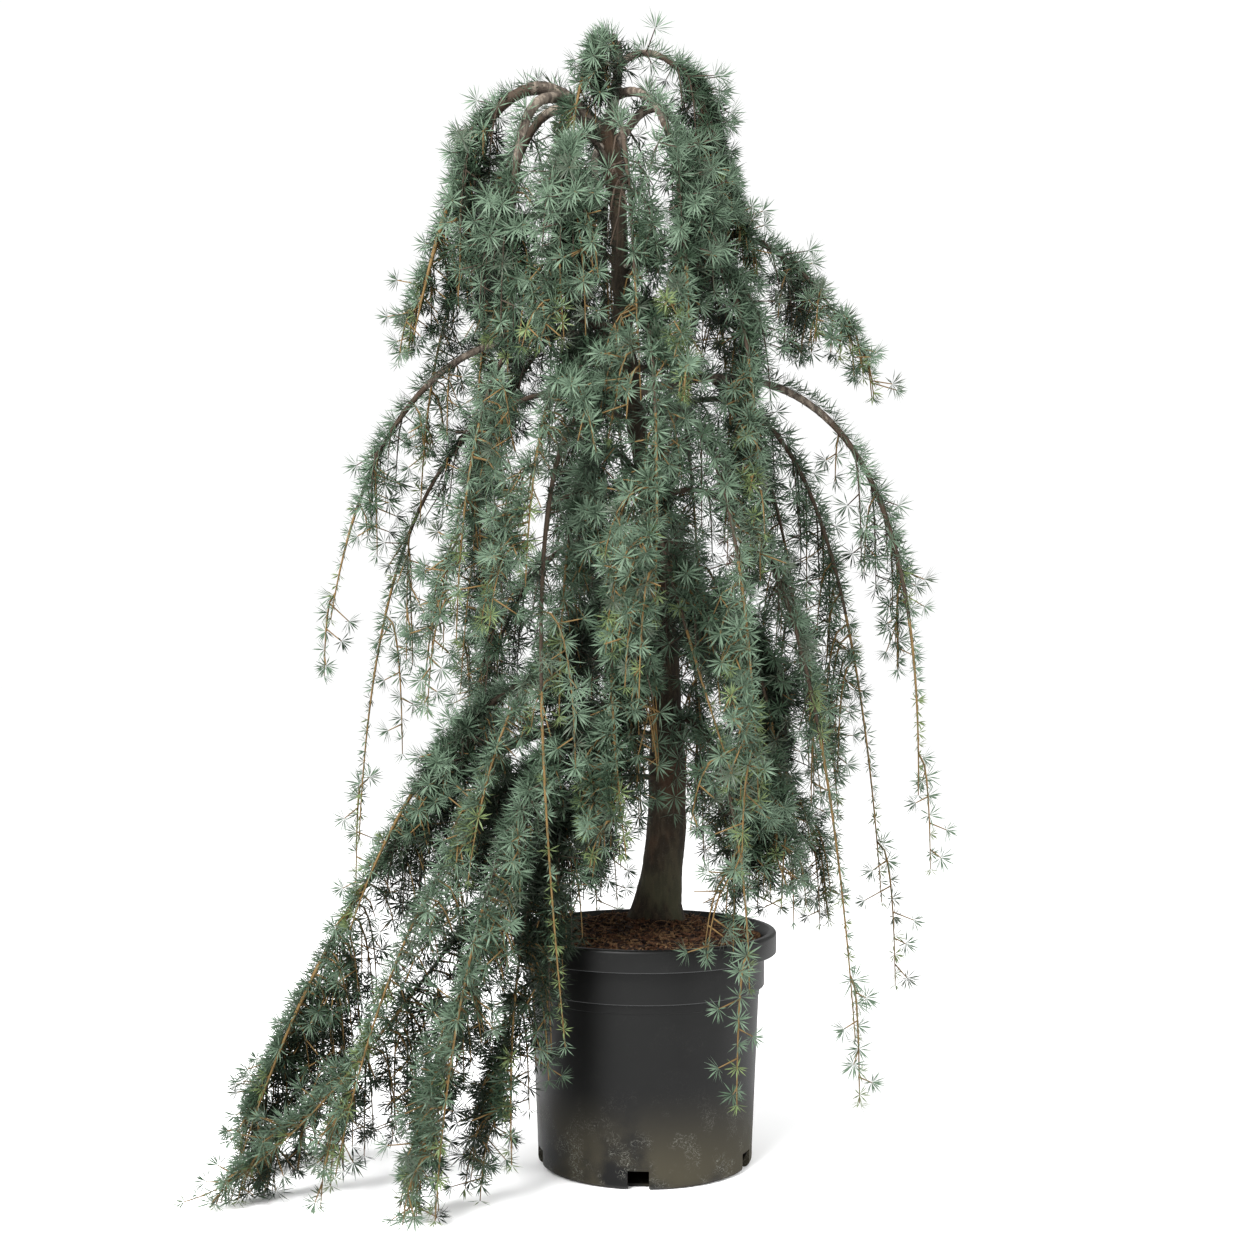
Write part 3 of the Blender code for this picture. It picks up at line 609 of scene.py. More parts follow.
def plastic_finish():
    """Dark moulded plastic with curly scratches, dirt towards its foot, and a painted highlight along the
    lower edges of the collar and the band.
    """
    tones = bpy.context.scene.cedar_pot
    finish = Finish("pot_plastic", tones.plastic, 0.42, 0.14)
    height = finish.height()
    mottle = finish.cloud(finish.place(), 9.0, 5.0)
    grain = finish.cloud(finish.place(), 1400.0, 2.0)
    low = finish.between(height, *DIRT_HEIGHTS)
    curls = finish.cloud(finish.place(), 95.0, 1.0, 2.6)
    patches = finish.between(finish.cloud(finish.place(), 30.0, 2.0), 0.47, 0.60)
    scratches = finish.between(abs(curls - 0.5), *SCRATCH_EDGES) * patches * (low * 0.8 + 0.03)
    # painted highlight: a pale line along the lower edge of the collar and of the band
    edge_highlight = finish.line(height, COLLAR_FOOT) + finish.line(height, BAND_FOOT)
    dirt = low * finish.between(mottle + grain * 0.15, 0.44, 0.62)
    colour = finish.mix(mottle * 0.5, tones.plastic, PLASTIC_MOTTLE)
    colour = finish.mix(dirt * 0.75, colour, tones.dirt)
    colour = finish.mix(scratches, colour, SCRATCH)
    finish.colour(finish.mix(edge_highlight * 0.35, colour, EDGE_HIGHLIGHT))
    finish.roughness(mottle * 0.16 + dirt * 0.3 + 0.36)
    finish.bump(grain * 0.4 + mottle, 0.0005, 0.5)
    return finish.material


def soil_finish(name, dark, light):
    """Bark and coir, broken up in its colour and its surface."""
    finish = Finish(name, dark, 0.95)
    crumbs = finish.cloud(finish.place(), 260.0, 6.0)
    finish.colour(finish.mix(finish.between(crumbs, 0.38, 0.66), dark, light))
    finish.bump(crumbs, 0.003)
    return finish.material


# Ways through space


def unit(vectors):
    return vectors / np.linalg.norm(vectors, axis=-1, keepdims=True)


def outwards(places):
    """Level directions away from the middle of the plant."""
    return unit(places * (1.0, 1.0, 0.0) + 1e-6)


def polar(azimuth, reach, height):
    angle = math.radians(azimuth)
    return np.array((reach * math.cos(angle), reach * math.sin(angle), height))


def photo_pixels(places):
    """Where places show in the photo, in pixels across and down."""
    depth = (places[:, 1] - CAMERA_PLACE[1]) / -CAMERA_PLACE[1]
    across = PHOTO_PIXELS / 2 + (places[:, 0] - CAMERA_PLACE[0]) / (METRES_PER_PIXEL * depth)
    down = PHOTO_PIXELS / 2 - (places[:, 2] - CAMERA_PLACE[2]) / (METRES_PER_PIXEL * depth)
    return across, down


def in_view(places):
    """True for places that no window of the photo keeps clear."""
    across, down = photo_pixels(places)
    allowed = np.ones(len(places), bool)
    for window in WINDOWS:
        inside = (across > window.left) & (across < window.right)
        inside &= (down > window.top) & (down < window.bottom)
        if not window.sky:
            inside &= places[:, 1] < 0.0
        allowed &= ~inside
    return allowed


class Course:
    """A smooth way through space, read by the distance along it."""

    def __init__(self, points):
        self.points = np.array(points)
        steps = np.linalg.norm(np.diff(self.points, axis=0), axis=1)
        self.marks = np.concatenate([[0.0], np.cumsum(steps)])
        self.length = float(self.marks[-1])
        way = self.points[-1] - self.points[0]
        middle = self.points[len(self.points) // 2] - self.points[0]
        flat = np.cross(middle, way)
        flat[2] = 0.0
        self.across = unit(flat) if np.linalg.norm(flat) > 1e-9 else np.array((0.0, 1.0, 0.0))

    def at(self, marks):
        marks = np.asarray(marks, float)
        return np.stack([np.interp(marks, self.marks, axis) for axis in self.points.T], axis=-1)

    def heading(self, marks):
        step = HEADING_STEP * self.length
        return unit(self.at(np.asarray(marks) + step) - self.at(np.asarray(marks) - step))

    def sides(self, marks):
        """Two directions square to the course at each mark, and its heading there."""
        headings = self.heading(marks)
        side = unit(self.across - headings * (headings @ self.across)[..., None])
        return side, np.cross(headings, side), headings

    def samples(self, start, end, step):
        return self.at(np.linspace(start, end, max(2, int((end - start) / step) + 1)))


def bezier(controls):
    degree = len(controls) - 1
    share = np.linspace(0.0, 1.0, COURSE_POINTS)[:, None]
    weights = [math.comb(degree, k) * share**k * (1 - share) ** (degree - k) for k in range(degree + 1)]
    return sum(weight * np.array(control) for weight, control in zip(weights, controls))


def stem_axis(height):
    heights, leans, _ = zip(*STEM_COURSE)
    return np.array((float(np.interp(height, heights, leans)), 0.0, height))


def stem_radius(height):
    heights, _, radii = zip(*STEM_COURSE)
    return float(np.interp(height, heights, radii))


def arm_course(arm, courses):
    """The arm's way: out and up from its root, over the shoulder, down to the foot."""
    if arm.fork_of:
        parent = courses[arm.fork_of]
        root = parent.at(arm.root * parent.length)
    else:
        root = stem_axis(arm.root)
    shoulder = polar(arm.azimuth, arm.reach, arm.shoulder)
    foot = polar(arm.foot_azimuth, arm.foot_reach, arm.foot)
    out = (shoulder - root) * arm.set_off
    climb = max(shoulder[2] - root[2], 0.0) + arm.rise
    lift = np.array((root[0] + out[0], root[1] + out[1], root[2] + climb))
    return Course(bezier([root, lift, shoulder, foot]))


def twig_course(arm, stem, start, number):
    """The way of one hanging twig: out to one side of the stem, and down."""
    draw = random.Random(f"{arm.name} {number}")
    low, high = TWIG_SHARES
    share = low + (high - low) * ((FIRST_SHARE + number * NEXT_SHARE) % 1.0)
    root = stem.at(start + (stem.length - start) * share)
    turn = number * GOLDEN_TURN + draw.uniform(-TURN_PLAY, TURN_PLAY)
    outward = np.cross(stem.across, UP)
    side = stem.across * math.cos(turn) + outward * (FLATNESS * math.sin(turn))
    spread = arm.spread * draw.uniform(*SPREAD_PLAY)
    hang = arm.hang * draw.uniform(*HANG_PLAY)
    bend = root + side * spread + UP * (TWIG_LIFT * spread)
    return Course(bezier([root, bend, root + side * (TWIG_FOOT * spread) - UP * hang]))


class Room:
    """Keeps each mass to its own space: nearer to its own stem than to any other stem."""

    def __init__(self, courses):
        stems, owners, limbs, radii = [], [], [], []
        for arm in ARMS:
            course = courses[arm.name]
            joint = arm.limb * course.length
            places = course.samples(bare_share(arm) * joint, course.length, SAMPLE_STEP)
            stems.append(places)
            owners += [arm.name] * len(places)
            if arm.limb:
                places = course.samples(0.0, joint, SAMPLE_STEP)
                limbs.append(places)
                radii += [arm.girth] * len(places)
        heights = np.arange(STEM_COURSE[0][0], STEM_COURSE[-1][0], SAMPLE_STEP)
        limbs.append(np.array([stem_axis(height) for height in heights]))
        radii += [stem_radius(height) for height in heights]
        self.stems = np.concatenate(stems)
        self.owners = np.array(owners)
        self.limbs = np.concatenate(limbs)
        self.radii = np.array(radii)

    def free(self, owner, places):
        """True for each place where a needle or twig of the owner's mass may be."""
        if not len(places):
            return np.zeros(0, bool)
        from_axis = np.hypot(places[:, 0], places[:, 1])
        in_pot = (from_axis < COLLAR_RADIUS + ROOM_TO_POT) & (places[:, 2] < POT_HEIGHT + ROOM_TO_POT)
        allowed = (places[:, 2] >= ROOM_TO_GROUND) & ~in_pot
        to_limbs = np.linalg.norm(places[:, None] - self.limbs, axis=2) - self.radii
        allowed &= to_limbs.min(axis=1) >= ROOM_TO_LIMB
        away = np.linalg.norm(places[:, None] - self.stems, axis=2)
        mine = self.owners == owner
        return allowed & (away[:, mine].min(axis=1) <= away[:, ~mine].min(axis=1))


# Many small things in one mesh


class Gathering:
    """Triangles of many small things, each with the number of its finish."""

    def __init__(self):
        self.corners, self.triangles, self.finishes, self.count = [], [], [], 0

    def add(self, corners, triangles, finishes):
        """Adds copies of one form: corners is copies by corners by 3, finishes has one number a copy."""
        copies, size = corners.shape[:2]
        first = self.count + size * np.arange(copies)
        self.corners.append(corners.reshape(-1, 3))
        self.triangles.append((triangles[None] + first[:, None, None]).reshape(-1, 3))
        self.finishes.append(np.repeat(finishes, len(triangles)))
        self.count += copies * size

    def piece(self, name, materials, smooth=False):
        mesh = bpy.data.meshes.new(name)
        corners = np.concatenate(self.corners)
        triangles = np.concatenate(self.triangles)
        mesh.vertices.add(len(corners))
        mesh.vertices.foreach_set("co", corners.astype(np.float32).ravel())
        mesh.loops.add(3 * len(triangles))
        mesh.loops.foreach_set("vertex_index", triangles.astype(np.int32).ravel())
        mesh.polygons.add(len(triangles))
        mesh.polygons.foreach_set("loop_start", 3 * np.arange(len(triangles), dtype=np.int32))
        for material in materials:
            mesh.materials.append(material)
        mesh.polygons.foreach_set("material_index", np.concatenate(self.finishes).astype(np.int32))
        mesh.polygons.foreach_set("use_smooth", np.full(len(triangles), smooth))
        mesh.update(calc_edges=True)
        return show(name, mesh)


def show(name, mesh):
    thing = bpy.data.objects.new(name, mesh)
    bpy.context.scene.collection.objects.link(thing)
    return thing


def join_frame(thing, slot, *nodes):
    """The piece rides on the plant's one body, in place of these nodes. The slot is not used."""
    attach(thing, "root")
    if nodes:
        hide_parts(*nodes)


def tube(gathering, course, start, end, girth, tip, sides, finish, step=TWIG_STEP):
    """A closed round twig along part of a course, pointed at its end."""
    marks = np.linspace(start, end, max(2, int((end - start) / step) + 1))
    side, front, _ = course.sides(marks)
    radii = (girth + (tip - girth) * np.linspace(0.0, 1.0, len(marks)) ** TWIG_TAPER)[:, None, None]
    angles = (np.arange(sides) * math.tau / sides)[:, None]
    ring = side[:, None] * np.cos(angles) + front[:, None] * np.sin(angles)
    places = course.at(marks)
    corners = (places[:, None] + ring * radii).reshape(-1, 3)
    corners = np.concatenate([corners, [places[0], places[-1] + course.heading(end) * tip]])
    around = np.arange(sides)
    beside = (around + 1) % sides
    rows = np.arange(len(marks) - 1)[:, None] * sides
    low, after = (rows + around).ravel(), (rows + beside).ravel()
    last = (len(marks) - 1) * sides
    foot, point = np.full(sides, last + sides), np.full(sides, last + sides + 1)
    triangles = [(low, after, after + sides), (low, after + sides, low + sides),
                 (foot, beside, around), (point, last + around, last + beside)]
    gathering.add(corners[None], np.concatenate([np.stack(each, axis=1) for each in triangles]), [finish])


# Needles


def rosette_templates(needles):
    """Rosettes round +Z. A needle is a slim solid of four corners: root, two at its middle, point.

    Returns how far each corner lies along its needle and across it, for a length and a girth of 1.
    """
    draw = np.random.default_rng(NEEDLE_SEED)
    low, high = NEEDLE_OPENING
    number = np.arange(needles)[None]
    share = (number + draw.uniform(*NEEDLE_PLAY, (TEMPLATES, needles))) / needles
    opening = low + (high - low) * share**OPENING_POWER
    turn = number * GOLDEN_TURN + draw.uniform(-NEEDLE_TURN_PLAY, NEEDLE_TURN_PLAY, (TEMPLATES, needles))
    heading = [np.sin(opening) * np.cos(turn), np.sin(opening) * np.sin(turn), np.cos(opening)]
    heading = np.stack(heading, axis=2)
    front = unit(UP - heading * heading[..., 2:])
    side = np.cross(front, heading)
    length = draw.uniform(*NEEDLE_LENGTHS, (TEMPLATES, needles, 1, 1))
    corner_shares = np.array((NEEDLE_ROOT, NEEDLE_WIDEST, NEEDLE_WIDEST, 1.0))[:, None]
    along = heading[:, :, None] * length * corner_shares
    nothing = np.zeros_like(side)
    across = [nothing, side + NEEDLE_KEEL * front, NEEDLE_KEEL * front - side, nothing]
    order = draw.permutation(needles)
    return along[:, order], np.stack(across, axis=2)[:, order]


def rosette_light(places):
    """The share of rosettes that lie deeper in the crown than each one, which sets the painted shade and
    painted light of its needles.
    """
    tree = KDTree(len(places))
    for number, place in enumerate(places):
        tree.insert(place, number)
    tree.balance()
    towards_light = places + (outwards(places) * LIGHT_OUT + UP * LIGHT_UP) * SHADE_REACH
    over = np.array([len(tree.find_range(point, SHADE_REACH)) for point in towards_light])
    light = np.empty(len(places))
    light[np.argsort(-over, kind="stable")] = np.linspace(0.0, 1.0, len(places))
    return light


class Rosettes:
    """Rosettes of one mass: where each sits, where it points, its needles' length and count, its age."""

    def __init__(self):
        self.groups = []

    def add(self, *group):
        """Adds arrays of places, axes, lengths, counts and ages."""
        self.groups.append(group)

    def settle(self):
        """Joins the groups and leaves out what would stand in a clear view of the photo."""
        places, axes, lengths, counts, ages = (np.concatenate(column) for column in zip(*self.groups))
        keep = in_view(places + axes * lengths[:, None] * ROSETTE_MIDDLE)
        self.places, self.axes, self.lengths = places[keep], axes[keep], lengths[keep]
        self.counts, self.ages = counts[keep], ages[keep]

    def gather(self, draw, templates, girth, light):
        """Every needle of the mass, in its finish."""
        along, across = templates
        turned = unit(np.cross(self.axes, unit(draw.normal(size=self.axes.shape))))
        frames = np.stack([turned, np.cross(self.axes, turned), self.axes], axis=2)
        picked = draw.integers(0, len(along), len(self.places))
        corners = along[picked] * self.lengths[:, None, None, None] + across[picked] * girth
        corners = np.einsum("mij,mnkj->mnki", frames, corners) + self.places[:, None, None]
        tips = corners[:, :, 3]
        from_axis = np.hypot(tips[..., 0], tips[..., 1])
        in_pot = (from_axis < COLLAR_RADIUS + CLEAR_OF_POT) & (tips[..., 2] < POT_HEIGHT + CLEAR_OF_POT)
        in_rosette = np.arange(along.shape[1])[None] < self.counts[:, None]
        kept = in_rosette & (tips[..., 2] > CLEAR_OF_GROUND) & ~in_pot
        finishes = deal_finishes(draw, self.places, self.ages, light)
        gathering = Gathering()
        gathering.add(corners[kept], NEEDLE_TRIANGLES, np.broadcast_to(finishes[:, None], kept.shape)[kept])
        return gathering


def deal_finishes(draw, places, ages, light):
    """Deals out the needle colours: painted shade deep in the crown, painted light outside it, fresh at
    young tips.
    """
    light = light + draw.uniform(-LIGHT_PLAY, LIGHT_PLAY, len(places))
    finishes = np.full(len(places), MIDDLE)
    # painted light on the rosettes that the most light reaches
    finishes[light > SUNLIT] = PALE
    finishes[draw.random(len(places)) < GREY_SHARE] = GREY
    finishes[(ages > FRESH_FROM) & (draw.random(len(places)) < FRESH_SHARE)] = FRESH
    # painted shade on the rosettes deep in the crown
    finishes[light < SHADED] = DARK
    across, down = photo_pixels(places)
    near = np.hypot(across - DEAD_TUFT[0], down - DEAD_TUFT[1]) < DEAD_TUFT_RADIUS
    finishes[near & (places[:, 1] < DEAD_TUFT_DEPTH)] = DEAD
    return finishes


def rosettes_along(course, marks, draw, lengths, count, ages, girth=0.0, lift=FACING_UP, rise=ROSETTE_RISE):
    """Rosettes set spirally along wood of that girth. Lengths and ages run from its root to its end."""
    places = course.at(marks)
    side, front, headings = course.sides(marks)
    turns = (draw.uniform(0, math.tau) + np.arange(len(marks)) * GOLDEN_TURN)[:, None]
    around = side * np.cos(turns) + front * np.sin(turns)
    out = unit(around * (1 - FACING) + outwards(places) * FACING + UP * lift)
    rise = draw.uniform(*rise, len(marks))[:, None]
    axes = unit(out * np.cos(rise) + headings * np.sin(rise))
    share = np.linspace(0.0, 1.0, len(marks)) if len(marks) > 1 else np.ones(len(marks))
    sizes = (lengths[0] + (lengths[1] - lengths[0]) * share) * draw.uniform(*SIZE_PLAY, len(marks))
    counts = np.round(count * (1.0 - COUNT_FADE * share) * draw.uniform(*COUNT_PLAY, len(marks)))
    return places + out * girth, axes, sizes, counts.astype(int), ages[0] + (ages[1] - ages[0]) * share


def tip_rosette(course, length, count, age):
    """The tuft at the end of a twig."""
    end = np.array([course.length])
    return course.at(end), course.heading(end), np.array([length]), np.array([count]), np.array([age])


def add_twiglets(arm, way, room, draw, wood, rosettes, length, age, finish):
    """Short shoots on a twig, each with a rosette at its end."""
    count = bpy.context.scene.cedar_needles.in_rosette
    marks = np.arange(draw.uniform(*TWIGLETS_FROM), way.length - TWIGLETS_END, TWIGLET_PITCH)
    if not len(marks):
        return
    side, front, headings = way.sides(marks)
    turns = draw.uniform(0, math.tau, (len(marks), 1))
    out = unit(side * np.cos(turns) + front * np.sin(turns) + headings * TWIGLET_LEAN)
    roots = way.at(marks)
    ends = roots + out * draw.uniform(*TWIGLET_LENGTH, (len(marks), 1))
    for root, end in zip(roots, ends[room.free(arm.name, ends)]):
        shoot = Course([root, end])
        tube(wood, shoot, 0.0, shoot.length, TWIGLET_RADIUS, TWIG_END, 3, finish)
        rosettes.add(*tip_rosette(shoot, length * draw.uniform(*SIZE_PLAY), count, age))


def bare_share(arm):
    """Share of the arm's bough that shows bare in the photo."""
    top = arm.root > TOP_LIMBS_FROM or arm.fork_of
    return BARE_SHARES.get(arm.name, BARE_TOP_LIMB if top else BARE_LIMB)


def grow_stem(arm, course, draw, wood, rosettes):
    """The stem of a mass, with rosettes on it and on its bough. Returns where needles and twigs start."""
    sizes = bpy.context.scene.cedar_needles
    joint = arm.limb * course.length
    needles_from = joint + arm.bare * (course.length - joint)
    girth = arm.girth * (1 - BOUGH_TAPER * arm.limb)
    young_from = (1 - YOUNG_BARK_FROM) * joint + YOUNG_BARK_FROM * course.length
    tube(wood, course, max(joint - JOINT_LAP, 0.0), young_from, girth, 0.5 * girth, 7, 0)
    tube(wood, course, young_from, course.length, 0.5 * girth, TWIG_END, 5, 1)
    whip_mark = needles_from + WHIP_FROM.get(arm.name, 1.0) * (course.length - needles_from)
    whip_lengths = [sizes.young_length * size for size in WHIP_SIZES]
    marks = np.arange(joint + ROSETTES_FROM * (needles_from - joint), whip_mark, STEM_PITCH * sizes.pitch)
    rosettes.add(*rosettes_along(course, marks, draw, (sizes.length, whip_lengths[0]), sizes.in_rosette,
                                 (0.0, 1.0), 0.6 * girth))
    marks = np.arange(whip_mark, course.length, WHIP_PITCH * sizes.pitch)
    rosettes.add(*rosettes_along(course, marks, draw, whip_lengths, sizes.in_rosette * 2 // 3, WHIP_AGES,
                                 rise=WHIP_RISE))
    rosettes.add(*tip_rosette(course, sizes.young_length, sizes.in_rosette // 2, 1.0))
    leafy_from = bare_share(arm) * joint
    if arm.limb:
        marks = np.arange(leafy_from, joint, LIMB_PITCH * sizes.pitch)
        rosettes.add(*rosettes_along(course, marks, draw, (sizes.length, sizes.length), sizes.in_rosette,
                                     LIMB_AGES, arm.girth, LIMB_FACING_UP))
    return needles_from, leafy_from


def grow_mass(arm, course, room):
    """One mass: its stem, the twigs that hang from it and the twiglets on those, with rosettes on all."""
    sizes = bpy.context.scene.cedar_needles
    draw = np.random.default_rng([ord(letter) for letter in arm.name])
    wood, rosettes = Gathering(), Rosettes()
    needles_from, leafy_from = grow_stem(arm, course, draw, wood, rosettes)
    for number in range(int(arm.twigs * sizes.branching * FULLNESS.get(arm.name, 1.0))):
        in_solids = number < arm.twigs
        share = (FIRST_SHARE + number * NEXT_SHARE) % 1.0
        if not in_solids and share > WHIP_FROM.get(arm.name, 1.0):
            continue
        way = twig_course(arm, course, needles_from if in_solids or number % 3 else leafy_from, number)
        stations = np.arange(FIRST_SPRAY, way.length, SAMPLE_STEP)
        blocked = np.flatnonzero(~room.free(arm.name, way.at(stations)))
        end = stations[max(blocked[0] - 1, 0)] if len(blocked) else way.length
        if not in_solids:
            end = min(end, way.length * draw.uniform(*SHORTENED))
        if end < SHORTEST_TWIG:
            continue
        way = Course(way.samples(0.0, end, WAY_STEP))
        age = 0.3 + 0.7 * share
        tip_length = sizes.length + (sizes.young_length - sizes.length) * age
        finish = int(share > YOUNG_TWIGS_FROM)
        tube(wood, way, 0.0, way.length, TWIG_RADIUS, TWIG_END, 3, finish)
        marks = np.arange(FIRST_SPRAY, way.length, sizes.pitch * draw.uniform(*PITCH_PLAY))
        rosettes.add(*rosettes_along(way, marks, draw, (sizes.length, tip_length), sizes.in_rosette,
                                     (0.4 * share, age)))
        rosettes.add(*tip_rosette(way, tip_length, sizes.in_rosette // 2, age))
        middle_length = 0.5 * (sizes.length + tip_length)
        add_twiglets(arm, way, room, draw, wood, rosettes, middle_length, 0.5 * age, finish)
    return wood, rosettes, draw


def make_foliage(needle_materials, wood_materials):
    """Grows every mass, sees which rosettes lie deep in the crown for the painted shade and painted light
    of their needles, and makes the meshes.
    """
    sizes = bpy.context.scene.cedar_needles
    courses = plant_courses()
    room = Room(courses)
    templates = rosette_templates(sizes.in_rosette)
    masses = {arm.name: grow_mass(arm, courses[arm.name], room) for arm in ARMS}
    for _, rosettes, _ in masses.values():
        rosettes.settle()
    light = rosette_light(np.concatenate([rosettes.places for _, rosettes, _ in masses.values()]))
    first = 0
    for name, (wood, rosettes, draw) in masses.items():
        last = first + len(rosettes.places)
        needles = rosettes.gather(draw, templates, sizes.girth, light[first:last])
        first = last
        join_frame(needles.piece(f"{name}_needles", needle_materials), "needles", f"{name}_foliage")
        join_frame(wood.piece(f"{name}_twigs", wood_materials, smooth=True), "bark", f"{name}_foliage")


# Stem and boughs


def station(place, heading, across, radius):
    """The matrix that turns the unit circle square to the heading and sizes it."""
    side = unit(across - heading * (heading @ across))
    columns = np.column_stack([side * radius, np.cross(heading, side) * radius, heading, place])
    return Matrix([*columns.tolist(), (0, 0, 0, 1)])


def sweep(form, stations, sides):
    """Draws a circle out through the stations and closes both ends."""
    circle = bmesh.ops.create_circle(form, radius=1.0, segments=sides, matrix=stations[0])
    edges = list(dict.fromkeys(edge for vert in circle["verts"] for edge in vert.link_edges))
    bmesh.ops.contextual_create(form, geom=edges)
    for before, after in zip(stations, stations[1:]):
        made = bmesh.ops.extrude_edge_only(form, edges=edges)["geom"]
        ring = {item for item in made if isinstance(item, bmesh.types.BMVert)}
        edges = [item for item in made
                 if isinstance(item, bmesh.types.BMEdge) and set(item.verts) <= ring]
        bmesh.ops.transform(form, matrix=after @ before.inverted(), verts=list(ring))
    bmesh.ops.contextual_create(form, geom=edges)


def raise_bark(form, depth):
    """Furrows and plates along the wood, as relief of the mesh."""
    bmesh.ops.recalc_face_normals(form, faces=form.faces)
    form.normal_update()
    for vert in form.verts:
        x, y, z = vert.co
        relief = 0.0
        for across, along, shift, share in BARK_WAVES:
            relief += share * noise.noise(Vector((x * across, y * across, z * along)) + Vector(shift))
        vert.co += vert.normal * (depth * relief)


def finish_form(form, name, material, smooth=True):
    bmesh.ops.recalc_face_normals(form, faces=form.faces)
    mesh = bpy.data.meshes.new(name)
    form.to_mesh(mesh)
    form.free()
    mesh.materials.append(material)
    if smooth:
        mesh.shade_smooth()
    return show(name, mesh)


def stem_stations():
    """The stem from just under the soil to the knot, with a collar at the root of each arm."""
    high = STEM_COURSE[-1][0] + 0.5 * TOP_ROUNDING
    heights = np.arange(STEM_COURSE[0][0] - STEM_SINK, high, STEM_STEP)
    leans = np.array([stem_axis(height)[0] for height in heights])
    window = 2 * LEAN_SMOOTHING + 1
    leans = np.convolve(np.pad(leans, LEAN_SMOOTHING, mode="edge"), np.ones(window) / window, mode="valid")
    roots = [arm.root for arm in ARMS if not arm.fork_of]
    stations = []
    for height, lean in zip(heights, leans):
        swell = sum(ROOT_SWELL * math.exp(-(((height - root) / SWELL_LENGTH) ** 2)) for root in roots)
        rounded = max(0.0, (height - high + TOP_ROUNDING) / TOP_ROUNDING)
        radius = stem_radius(height) * (1 + min(swell, MOST_SWELL))
        radius *= math.sqrt(max(TOP_FLAT, 1 - rounded**2))
        stations.append(station(np.array((lean, 0.0, height)), UP, np.array((1.0, 0.0, 0.0)), radius))
    return stations


def widen_flare(form):
    """Two lobes in the root flare."""
    foot = STEM_COURSE[0][0]
    for vert in form.verts:
        share = min(1.0, max(0.0, (FLARE_TOP - vert.co.z) / (FLARE_TOP - foot)))
        if share > 0.0:
            axis = stem_axis(max(vert.co.z, foot))
            out = Vector((vert.co.x - axis[0], vert.co.y, 0.0))
            angle = math.atan2(out.y, out.x)
            lobes = FLARE_LOBES * math.cos(2 * angle) + FLARE_RIPPLES * math.cos(5 * angle + 1.0)
            vert.co += out * (share * lobes)


def make_stem(material):
    form = bmesh.new()
    sweep(form, stem_stations(), STEM_SIDES)
    widen_flare(form)
    raise_bark(form, BARK_DEPTH)
    join_frame(finish_form(form, "stem_bark", material), "bark", "trunk")


def make_boughs(courses, material):
    """Each bough from the axis of its stem to the joint with its mass, thicker at its root."""
    form = bmesh.new()
    nodes = []
    for arm in ARMS:
        if not arm.limb:
            continue
        nodes.append(f"{arm.name}_bough")
        course = courses[arm.name]
        end = arm.limb * course.length
        marks = np.arange(0.0, end + BOUGH_STEP, BOUGH_STEP)
        side, _, headings = course.sides(marks)
        places = course.at(marks)
        radii = arm.girth * (1 - BOUGH_TAPER * arm.limb * marks / end)
        radii *= 1 + BOUGH_SWELL * np.exp(-marks / BOUGH_SWELL_LENGTH)
        sweep(form, [station(*each) for each in zip(places, headings, side, radii)], BOUGH_SIDES)
    raise_bark(form, BOUGH_BARK_DEPTH)
    join_frame(finish_form(form, "boughs_bark", material), "bark", *nodes)


def make_stubs(material):
    form = bmesh.new()
    for way, radius in STUBS:
        course = Course(bezier([np.array(place) for place in way]))
        marks = np.linspace(0.0, course.length, STUB_STATIONS)
        side, _, headings = course.sides(marks)
        radii = radius * (1 - STUB_TAPER * marks / course.length)
        places = course.at(marks)
        sweep(form, [station(*each) for each in zip(places, headings, side, radii)], STUB_SIDES)
    raise_bark(form, STUB_BARK_DEPTH)
    join_frame(finish_form(form, "pruned_stubs", material), "bark")


# Pot


def arc(centre, radius, start, end, steps):
    angles = np.radians(np.linspace(start, end, steps + 1))
    return [(centre[0] + radius * math.cos(a), centre[1] + radius * math.sin(a)) for a in angles]


def pot_wall_inside(height):
    share = (height - FOOT_HEIGHT) / (BAND_FOOT - FOOT_HEIGHT)
    return BODY_FOOT_RADIUS + share * (BODY_TOP_RADIUS - BODY_FOOT_RADIUS) - POT_WALL


def pot_profile():
    """The pot's section: down the outside, over the underside, and up the inside."""
    rounding, edge = COLLAR_ROUNDING, EDGE_ROUNDING
    foot_rounding = BODY_FOOT_RADIUS - UNDERSIDE_RADIUS
    return [
        (COLLAR_INSIDE + rounding * LIP_SLOPE, POT_HEIGHT),
        *arc((COLLAR_RADIUS - rounding, POT_HEIGHT - rounding), rounding, 90, 0, 6),
        *arc((COLLAR_RADIUS - edge, COLLAR_FOOT + edge), edge, 0, -90, 3),
        (BAND_RADIUS + STEP_ROUNDING, COLLAR_FOOT),
        (BAND_RADIUS, COLLAR_FOOT - STEP_ROUNDING),
        *arc((BAND_RADIUS - edge, BAND_FOOT + edge), edge, 0, -90, 3),
        (BODY_TOP_RADIUS + STEP_ROUNDING, BAND_FOOT),
        (BODY_TOP_RADIUS, BAND_FOOT - STEP_ROUNDING),
        (BODY_TOP_RADIUS - STEP_DEPTH, BAND_FOOT - STEP_BELOW_BAND),
        (BODY_TOP_RADIUS - STEP_DEPTH - GROOVE, BAND_FOOT - STEP_BELOW_BAND - STEP_ROUNDING),
        (BODY_FOOT_RADIUS, FOOT_HEIGHT),
        *arc((UNDERSIDE_RADIUS, foot_rounding), foot_rounding, 0, -90, 6),
        (0.0, 0.0),
        (0.0, POT_WALL),
        (UNDERSIDE_RADIUS - POT_WALL, POT_WALL),
        (pot_wall_inside(FOOT_HEIGHT), FOOT_HEIGHT),
        (pot_wall_inside(COLLAR_FOOT), COLLAR_FOOT),
        (COLLAR_INSIDE, POT_HEIGHT - LIP_DROP),
    ]


